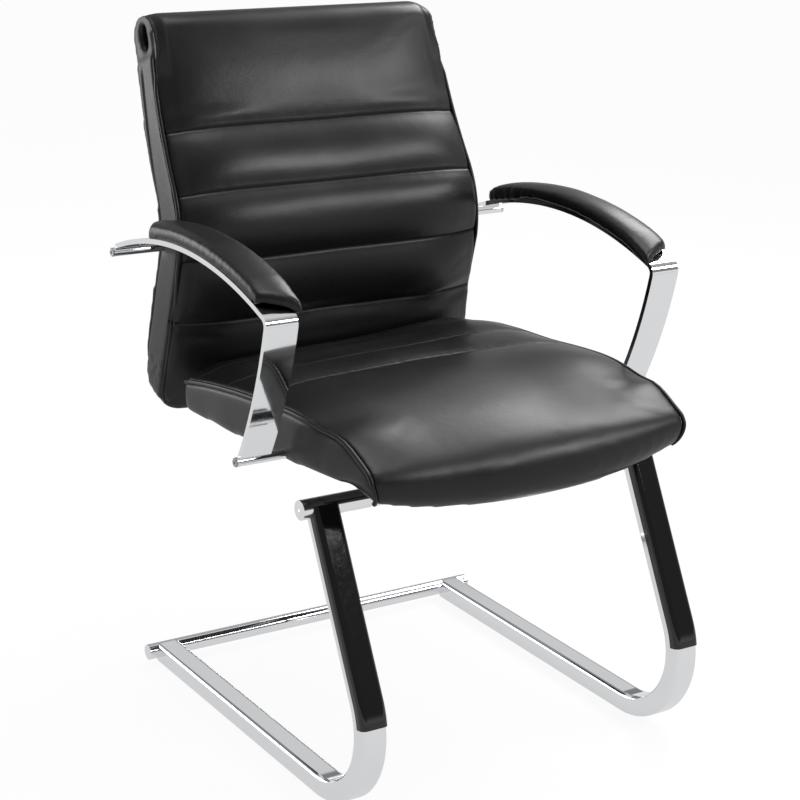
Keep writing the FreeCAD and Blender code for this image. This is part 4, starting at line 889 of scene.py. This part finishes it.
    def crest(self, points: Points, normals: Points) -> Points:
        """Run the top panel on over the roll in one sweep, with rounded ends."""
        run, depth, angle = self.unrolled(points)
        reach = np.clip(np.abs(points[:, 0]) / self.half_at(points), 0, 1)
        share = 1 - reach ** 6
        crown = self.crown * share
        middle = (self.seams[-1] + self.roll_middle) / 2
        spread = (self.roll_middle - self.seams[-1]) / 2
        swell = self.top_swell * (0.15 + 0.85 * share) * np.clip(1 - ((run - middle) / spread) ** 2, 0, 1)
        rise = np.clip((run - self.roll_middle) / self.roll_radius, 0, 0.999)
        front = -crown - swell + (self.roll_radius + crown) * (1 - np.sqrt(1 - rise ** 2))
        facing = self.front_share(normals, angle)
        groove = (1 - ease(np.abs(run - self.length), 0.010, 0.020)) * (reach < 0.975)
        chosen = np.maximum(facing, groove) * ease(run, 0.395, 0.425) * (depth < 0.026)
        behind = np.stack([np.zeros(len(points)), np.cos(angle), -np.sin(angle)], axis=1)
        out = points + behind * (chosen * (front - depth))[:, None]
        up = np.stack([np.zeros(len(points)), np.sin(angle), np.cos(angle)], axis=1)
        end_drop = np.where(points[:, 0] > 0, self.end_drop_right, self.end_drop_left)
        drop = end_drop * ease(reach, 0.92, 1.0) * ease(run, 0.505, 0.55)
        return out - up * drop[:, None]

    def fit(self, points: Points, normals: Points) -> Points:
        """Bring the sides of the skin out to the piping, and the rear out to its size."""
        _, depth, angle = self.unrolled(points)
        out = points.copy()
        reach = np.abs(points[:, 0]) / self.half_at(points)
        out[:, 0] += np.sign(points[:, 0]) * self.side_fit * ease(reach, 0.93, 0.985)
        back = self.rear_fit * ease(depth, 0.035, 0.05)
        out[:, 1] += back * np.cos(angle)
        out[:, 2] -= back * np.sin(angle)
        return out

    def hem(self, points: Points, normals: Points) -> Points:
        """Draw the rear cover down over the brackets."""
        run, depth, angle = self.unrolled(points)
        middle = 1 - ease(np.abs(points[:, 0]) - self.half_at(points), -0.050, -0.022)
        share = middle * ease(depth, 0.024, 0.034) * (1 - ease(run, 0.045, 0.110))
        out = points.copy()
        out[:, 1] += share * (self.hem_out * np.cos(angle) - self.hem_drop * np.sin(angle))
        out[:, 2] -= share * (self.hem_out * np.sin(angle) + self.hem_drop * np.cos(angle))
        return out

    def foot_form(self, points: Points, normals: Points) -> Points:
        """Bring the foot down to the seam below the seat, and round its corners."""
        run, _, angle = self.unrolled(points)
        low = -self.foot_drop * (1 - ease(run, -0.01, 0.06))
        half = self.half_at(points) + 6 * MM
        side = np.abs(points[:, 0]) - (half - self.foot_round)
        fall = self.foot_round - (run + low + self.foot_drop)
        square = np.maximum(np.maximum(side, fall), 1e-6)
        share = np.where((side > 0) & (fall > 0), square / np.hypot(side, fall), 1.0)
        out = points.copy()
        rounded = np.sign(points[:, 0]) * (half - self.foot_round + side * share)
        out[:, 0] = np.where(side > 0, rounded, out[:, 0])
        up = low + np.where(fall > 0, fall - fall * share, 0.0)
        out[:, 1] += up * np.sin(angle)
        out[:, 2] += up * np.cos(angle)
        return out

    def rim(self, points: Points, normals: Points, turn: float, spread: float) -> Points:
        """Share of the rim round the ends of the roll at each point, where the cover turns sideways.

        Args:
            points: rows of x, y, z.
            normals: their normals.
            turn: how far the cover has turned there, from 0, across, to 1, sideways.
            spread: how wide the rim is, in the same terms.

        Returns:
            One share for each point.
        """
        run, _, _ = self.unrolled(points)
        outside = np.hypot(points[:, 1] - self.tunnel[0], points[:, 2] - self.tunnel[1]) > 0.022
        end = ease(np.abs(points[:, 0]) / self.half_at(points), 0.92, 0.95) * ease(run, 0.455, 0.475)
        return outside * end * bell(np.abs(normals[:, 0]) - turn, spread)

    def bead(self, points: Points, normals: Points) -> Points:
        """Carry the piping on round the ends of the roll."""
        return points + normals * (self.bead_height * self.rim(points, normals, 0.6, 0.22))[:, None]

    def sink(self, points: Points, normals: Points) -> Points:
        """Turn the ends of a cord in: its top under the roll, its foot under the cover."""
        run, _, _ = self.unrolled(points)
        top, foot = ease(run, 0.44, 0.49), 1 - ease(run, 0.0, 0.03)
        out = points.copy()
        out[:, 0] *= 1 - 0.030 * top - 0.045 * foot
        out[:, 1] += 3 * MM * top
        out[:, 2] += 5 * MM * foot
        return out

    def side_share(self, normals: Points) -> Points:
        """1 where the cover faces sideways, 0 elsewhere."""
        return ease(np.abs(normals[:, 0]), 0.55, 0.85)

    def band_seam(self, run: Points, depth: Points) -> Points:
        """Distance from the seam between a side band and the rear panel."""
        return depth - (self.band_depth - self.band_taper * ease(run, 0.26, self.length))

    def tuck(self, points: Points, normals: Points) -> Points:
        """Sink the seams of the side bands and gather the leather at the foot."""
        run, depth, _ = self.unrolled(points)
        side = self.side_share(normals) * ease(run, -0.01, 0.03) * (1 - ease(run, 0.47, 0.49))
        away = self.band_seam(run, depth)
        dip = pressed(points, normals, away, 2.8 * MM, 2.2 * MM)
        gather = ripple(points * np.array([0.4, 1, 1]), 9 * MM, 41.0) * (1 - ease(run, 0.03, 0.09))
        slow = ripple(points * np.array([0.4, 1, 0.4]), 30 * MM, 43.0)
        lift = (1.0 * MM * gather + 0.5 * MM * slow) * self.side_share(normals)
        return points + (dip - points) * side[:, None] + normals * lift[:, None]

    def build_body(self, frame: dict[str, Any], leather: bpy.types.Material) -> None:
        """Make the stuffed back: ribbed front, side bands, padded rear and roll in one cover."""
        nodes = ("back_cushion", "back_rear_panel", "back_side_band_left", "back_side_band_right",
                 "back_top_roll")
        core = [("back_board", (0.0, 0.0, 0.0))]
        for side in Side:
            core += [("back_side_band_" + side.word, (-side.value * depth * MM, 0.0, 0.0))
                     for depth in (2, 4, 6, 8, 10)]
        body = SoftPiece("back_upholstery", nodes, voxel=5 * MM, cap=2.2 * MM, core=tuple(core))
        body.cut(frame)
        body.remesh()
        body.shape(self.crest)
        body.shape(self.hem)
        body.smooth(2)
        points, normals = body.surface()
        run, _, angle = self.unrolled(points)
        front = self.front_share(normals, angle)
        edge = 1 - ease(self.half_at(points) - np.abs(points[:, 0]), 0.004, 0.03)
        sewn = front * np.max([bell(run - seam, 5 * MM) for seam in self.seams], axis=0)
        tunnel = np.hypot(points[:, 1] - self.tunnel[0], points[:, 2] - self.tunnel[1]) < 0.024
        rear = 0.5 * (1 - front)
        body.stuff(np.clip(np.max([edge, sewn, tunnel, rear], axis=0), 0, 1), pressure=4.0)
        body.refine()
        body.shape(self.fit)
        body.shape(self.wear)
        cords = tuple("back_piping_" + side.word for side in Side)
        points, normals = body.surface()
        run, depth, angle = self.unrolled(points)
        sewn = np.min([np.abs(run - seam) for seam in self.seams], axis=0)
        sewn = np.where(self.front_share(normals, angle) > 0.2, sewn, 1.0)
        side = np.where(self.side_share(normals) > 0.2, np.abs(self.band_seam(run, depth)), 1.0)
        near = np.min([sewn, side, gap_to(points, frame, *cords)], axis=0) < 9 * MM
        body.refine_near(near | (self.rim(points, normals, 0.5, 0.5) > 0.2))
        gap = gap_to(points_of(body.obj.data), frame, *cords)
        body.shape(lambda points, normals: pressed(points, normals, gap, 2.4 * MM, 1.2 * MM))
        body.shape(self.sew)
        body.shape(self.bead)
        body.shape(self.tuck)
        points, normals = body.surface()
        run, depth, _ = self.unrolled(points)
        # Painted shade: the front seams, the band seams, the lines beside the piping and round the roll
        # ends are marked to be darkened.
        band = bell(self.band_seam(run, depth), 1.4 * MM) * (1 - ease(run, 0.47, 0.49))
        body.mark_seams(np.max([self.seam_shade_share(points, normals), 0.8 * band * self.side_share(normals),
                                0.9 * bell(gap, 1.5 * MM),
                                0.8 * self.rim(points, normals, 0.22, 0.09)], axis=0))
        body.shape(self.foot_form)
        body.finish(leather)

    def build(self, frame: dict[str, Any], leather: bpy.types.Material) -> None:
        """Make all pieces of the back."""
        self.build_body(frame, leather)
        for side in Side:
            cord = SoftPiece("back_welt_" + side.word, ("back_piping_" + side.word,))
            cord.cut(frame)
            cord.shape(self.sink)
            cord.shape(self.foot_form)
            cord.finish(leather, padded=False)


@dataclass
class ArmRests:
    """The padded arm rests: leather drawn over a base strip, puckered along the lower edge."""

    centre: float = 0.2825
    front_y: float = -0.1807
    seam_y: float = 0.128
    top_rise: float = 3.0 * MM
    rim_drop: float = 3.6 * MM
    nose_reach: float = 6.0 * MM
    nose_drop: float = 7.0 * MM
    tip_drop: float = 3.5 * MM
    tip_middle: float = 3.0 * MM
    tail_drop: float = 4.5 * MM

    def gathers(self, points: Points, normals: Points) -> Points:
        """Small puckers along the lower edge, where the leather is drawn under."""
        side = ease(np.abs(normals[:, 0]), 0.35, 0.8)
        pucker = ripple(points * np.array([0.3, 1, 0.3]), 7 * MM, 31.0)
        slow = ripple(points, 40 * MM, 33.0)
        return points + normals * (0.35 * MM * pucker * side + 0.5 * MM * slow)[:, None]

    def plump(self, points: Points, normals: Points) -> Points:
        """Round the top up, and draw the rim, the nose and the rear end down over the base strip."""
        away = np.abs(np.abs(points[:, 0]) - self.centre)
        rim = ease(away, 0.0195, 0.0225) * (1 - ease(normals[:, 2], 0.0, 0.6))
        top = ease(normals[:, 2], 0.2, 0.8) * (1 - (away / 0.030) ** 2)
        out = points.copy()
        nose = 1 - ease(points[:, 1], self.front_y, self.front_y + 0.045)
        tip = 1 - ease(points[:, 1], self.front_y, self.front_y + 0.010)
        tail = ease(points[:, 1], self.seam_y - 0.045, self.seam_y - 0.005)
        low = 1 - ease(normals[:, 2], -0.2, 0.7)
        out[:, 1] -= self.nose_reach * nose
        middle = 1 - ease(away, 0.012, 0.020)
        out[:, 2] += self.top_rise * top - self.nose_drop * nose
        out[:, 2] -= self.rim_drop * np.maximum(rim, tip * low)
        out[:, 2] -= (self.tip_drop + self.tip_middle * middle) * tip * low + self.tail_drop * tail * low
        return out

    def sew(self, points: Points, normals: Points) -> Points:
        """One seam across near the rear end."""
        away = points[:, 1] - self.seam_y
        return pressed(points, normals, away, 2.4 * MM, 1.3 * MM)

    def build(self, frame: dict[str, Any], leather: bpy.types.Material) -> None:
        """Make both pads."""
        for side in Side:
            nodes = ("arm_pad_" + side.word,)
            pad = SoftPiece("arm_rest_" + side.word, nodes, voxel=3.5 * MM, cap=2.5 * MM)
            pad.cut(frame)
            pad.remesh()
            normals = normals_of(pad.obj.data)
            pad.stuff(1 - ease(normals[:, 2], -0.3, 0.2), pressure=5.0)
            pad.shape(self.plump)
            pad.smooth(1)
            pad.refine()
            pad.shape(self.gathers)
            pad.shape(self.sew)
            # Painted shade: the cross seam is marked to be darkened along its groove.
            away = points_of(pad.obj.data)[:, 1] - self.seam_y
            pad.mark_seams(0.8 * bell(away, 1.6 * MM))
            pad.finish(leather)


@dataclass
class Base:
    """The rigid pieces, which keep their solids and take a finish each."""

    def dress(self, frame: dict[str, Any], materials: dict[Slot, bpy.types.Material]) -> None:
        """Give every solid that shows the material of its slot."""
        for row in frame["record"]["subparts"]:
            obj = frame["nodes"][row["node"]]
            if obj.hide_render:
                continue
            obj.data.materials.clear()
            obj.data.materials.append(materials[Slot(row["material_slot"])])
            LOG.info("%s: %s", row["node"], row["material_slot"])


@dataclass(frozen=True)
class SoftBox:
    """A soft box: its place, its size in metres and its power."""

    name: str
    place: tuple[float, float, float]
    width: float
    height: float
    watts: float


@dataclass(frozen=True)
class Ramp:
    """A smooth change of the surroundings' level along one axis of the heading."""

    axis: str
    low: float
    high: float
    start: float
    end: float


@dataclass
class Studio:
    """Pale floor, soft light and the photograph's camera.

    The surroundings are white at the horizon, dim above it, pale again overhead, and have a pale band
    behind the chair that the tops of the runners show.
    """

    camera_place: tuple[float, float, float] = (-1.42971, -2.20737, 1.25830)
    yaw: float = 0.575086
    pitch: float = 0.309969
    roll: float = 0.0297047
    lens_pixels: float = 2062.157
    picture_pixels: float = 800.0
    sensor_mm: float = 36.0
    floor_glow: float = 0.92
    floor_mirrored: float = 0.72
    fill_level: float = 0.3
    horizon: Ramp = Ramp("Z", 0.02, 0.14, 1.0, 0.22)
    overhead: Ramp = Ramp("Z", 0.6, 0.95, 0.0, 0.5)
    band_rise: Ramp = Ramp("Z", 0.34, 0.40, 0.0, 0.44)
    band_fall: Ramp = Ramp("Z", 0.50, 0.60, 1.0, 0.0)
    band_rear: Ramp = Ramp("Y", 0.1, 0.5, 0.0, 1.0)
    soft_boxes: tuple[SoftBox, ...] = (
        SoftBox("key_right", (1.8, 0.7, 2.15), 1.4, 1.0, 42.0),
        SoftBox("front_right", (1.75, -2.0, 2.05), 1.9, 0.5, 43.0),
        SoftBox("rear_left", (-1.8, 2.3, 0.9), 1.6, 1.2, 24.0),
    )
    aim: tuple[float, float, float] = (0.0, 0.0, 0.5)
    sky_strength: float = 1.3
    sky_spread: float = 0.7

    def set_camera(self) -> None:
        """Put the camera where the photograph was taken from."""
        data = bpy.data.cameras.new("camera")
        data.sensor_width = self.sensor_mm
        data.lens = self.lens_pixels / self.picture_pixels * data.sensor_width
        data.clip_end = 200.0
        camera = add_object("camera", data)
        level = math.cos(self.pitch)
        ahead = Vector((math.sin(self.yaw) * level, math.cos(self.yaw) * level, -math.sin(self.pitch)))
        right = Vector((math.cos(self.yaw), -math.sin(self.yaw), 0.0))
        up = right.cross(ahead)
        cos, sin = math.cos(self.roll), math.sin(self.roll)
        turned_right = right * cos + up * sin
        turned_up = up * cos - right * sin
        turn = Matrix((turned_right, turned_up, -ahead)).transposed()
        camera.matrix_world = Matrix.Translation(self.camera_place) @ turn.to_4x4()
        bpy.context.scene.camera = camera

    def seen(self, tree: bpy.types.NodeTree) -> bpy.types.NodeSocket:
        """1 for rays that show the background: from the camera, or by reflection or glass."""
        path = add_node(tree, "ShaderNodeLightPath")
        glossy = add_node(tree, "ShaderNodeMath", {"operation": "MAXIMUM"}, {
            0: path.outputs["Is Camera Ray"], 1: path.outputs["Is Glossy Ray"]})
        every = add_node(tree, "ShaderNodeMath", {"operation": "MAXIMUM"}, {
            0: glossy.outputs["Value"], 1: path.outputs["Is Transmission Ray"]})
        return every.outputs["Value"]

    def lay_floor(self) -> None:
        """Lay a wide white floor that keeps a pale shadow."""
        sheet = bmesh.new()
        bmesh.ops.create_grid(sheet, x_segments=1, y_segments=1, size=60.0)
        mesh = bpy.data.meshes.new("floor")
        sheet.to_mesh(mesh)
        sheet.free()
        floor = add_object("floor", mesh)
        material = bpy.data.materials.new("white_floor")
        material.use_nodes = True
        tree = material.node_tree
        tree.nodes.clear()
        lit = add_node(tree, "ShaderNodeBsdfDiffuse", inputs={"Color": linear("#f4f4f4")})
        path = add_node(tree, "ShaderNodeLightPath")
        strength = add_node(tree, "ShaderNodeMix", inputs={
            0: path.outputs["Is Camera Ray"], 2: self.floor_mirrored, 3: 1.0})
        glow = add_node(tree, "ShaderNodeEmission", inputs={
            "Color": (1, 1, 1, 1), "Strength": strength.outputs[0]})
        share = add_node(tree, "ShaderNodeMath", {"operation": "MULTIPLY"}, {
            0: self.seen(tree), 1: self.floor_glow})
        mixed = add_node(tree, "ShaderNodeMixShader", inputs={
            0: share.outputs["Value"], 1: lit.outputs["BSDF"], 2: glow.outputs["Emission"]})
        add_node(tree, "ShaderNodeOutputMaterial", inputs={"Surface": mixed.outputs["Shader"]})
        mesh.materials.append(material)

    def set_world(self) -> None:
        """White surroundings for the eye, softer light for the object."""
        world = bpy.data.worlds.new("studio")
        bpy.context.scene.world = world
        world.use_nodes = True
        tree = world.node_tree
        tree.nodes.clear()
        heading = add_node(tree, "ShaderNodeTexCoord").outputs["Generated"]
        parts = add_node(tree, "ShaderNodeSeparateXYZ", inputs={"Vector": heading})
        ramps = (self.horizon, self.overhead, self.band_rise, self.band_fall, self.band_rear)
        dim, lift, rise, fall, rear = (
            add_node(tree, "ShaderNodeMapRange", {"interpolation_type": "SMOOTHSTEP"}, {
                "Value": parts.outputs[ramp.axis], "From Min": ramp.low, "From Max": ramp.high,
                "To Min": ramp.start, "To Max": ramp.end}).outputs["Result"] for ramp in ramps)
        room = add_node(tree, "ShaderNodeMath", {"operation": "ADD"}, {0: dim, 1: lift})
        band = add_node(tree, "ShaderNodeMath", {"operation": "MULTIPLY"}, {0: rise, 1: fall})
        around = add_node(tree, "ShaderNodeMath", {"operation": "MULTIPLY_ADD"}, {
            0: band.outputs["Value"], 1: rear, 2: room.outputs["Value"]})
        path = add_node(tree, "ShaderNodeLightPath")
        white = add_node(tree, "ShaderNodeMix", inputs={
            0: path.outputs["Is Camera Ray"], 2: around.outputs["Value"], 3: 1.0})
        level = add_node(tree, "ShaderNodeMix", inputs={
            0: self.seen(tree), 2: self.fill_level, 3: white.outputs[0]})
        back = add_node(tree, "ShaderNodeBackground", inputs={
            "Color": (1, 1, 1, 1), "Strength": level.outputs[0]})
        add_node(tree, "ShaderNodeOutputWorld", inputs={"Surface": back.outputs["Background"]})

    def add_light(self, box: SoftBox) -> None:
        """Add a soft box that faces the seat."""
        data = bpy.data.lights.new(box.name, "AREA")
        data.shape = "RECTANGLE"
        data.size, data.size_y = box.width, box.height
        data.energy = box.watts
        light = add_object(box.name, data)
        light.location = box.place
        light.rotation_euler = (Vector(self.aim) - Vector(box.place)).to_track_quat("-Z", "Y").to_euler()

    def add_sky(self) -> None:
        """Add an even light from above, as wide as its spread in radians."""
        data = bpy.data.lights.new("sky", "SUN")
        data.energy = self.sky_strength
        data.angle = self.sky_spread
        add_object("sky", data).location = (0.0, 0.0, 3.0)

    def build(self) -> None:
        """Make the stage."""
        bpy.context.scene.view_settings.view_transform = "Standard"
        self.set_camera()
        self.lay_floor()
        self.set_world()
        for box in self.soft_boxes:
            self.add_light(box)
        self.add_sky()


def main() -> None:
    """Dress the frame and set the stage."""
    logging.basicConfig(level=logging.INFO, format="%(message)s")
    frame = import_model()
    materials = {slot: finish.make() for slot, finish in FINISHES.items()}
    leather = materials[Slot.LEATHER]
    Seat().build(frame, leather)
    Back().build(frame, leather)
    ArmRests().build(frame, leather)
    Base().dress(frame, materials)
    Studio().build()


if __name__ == "__main__":
    main()
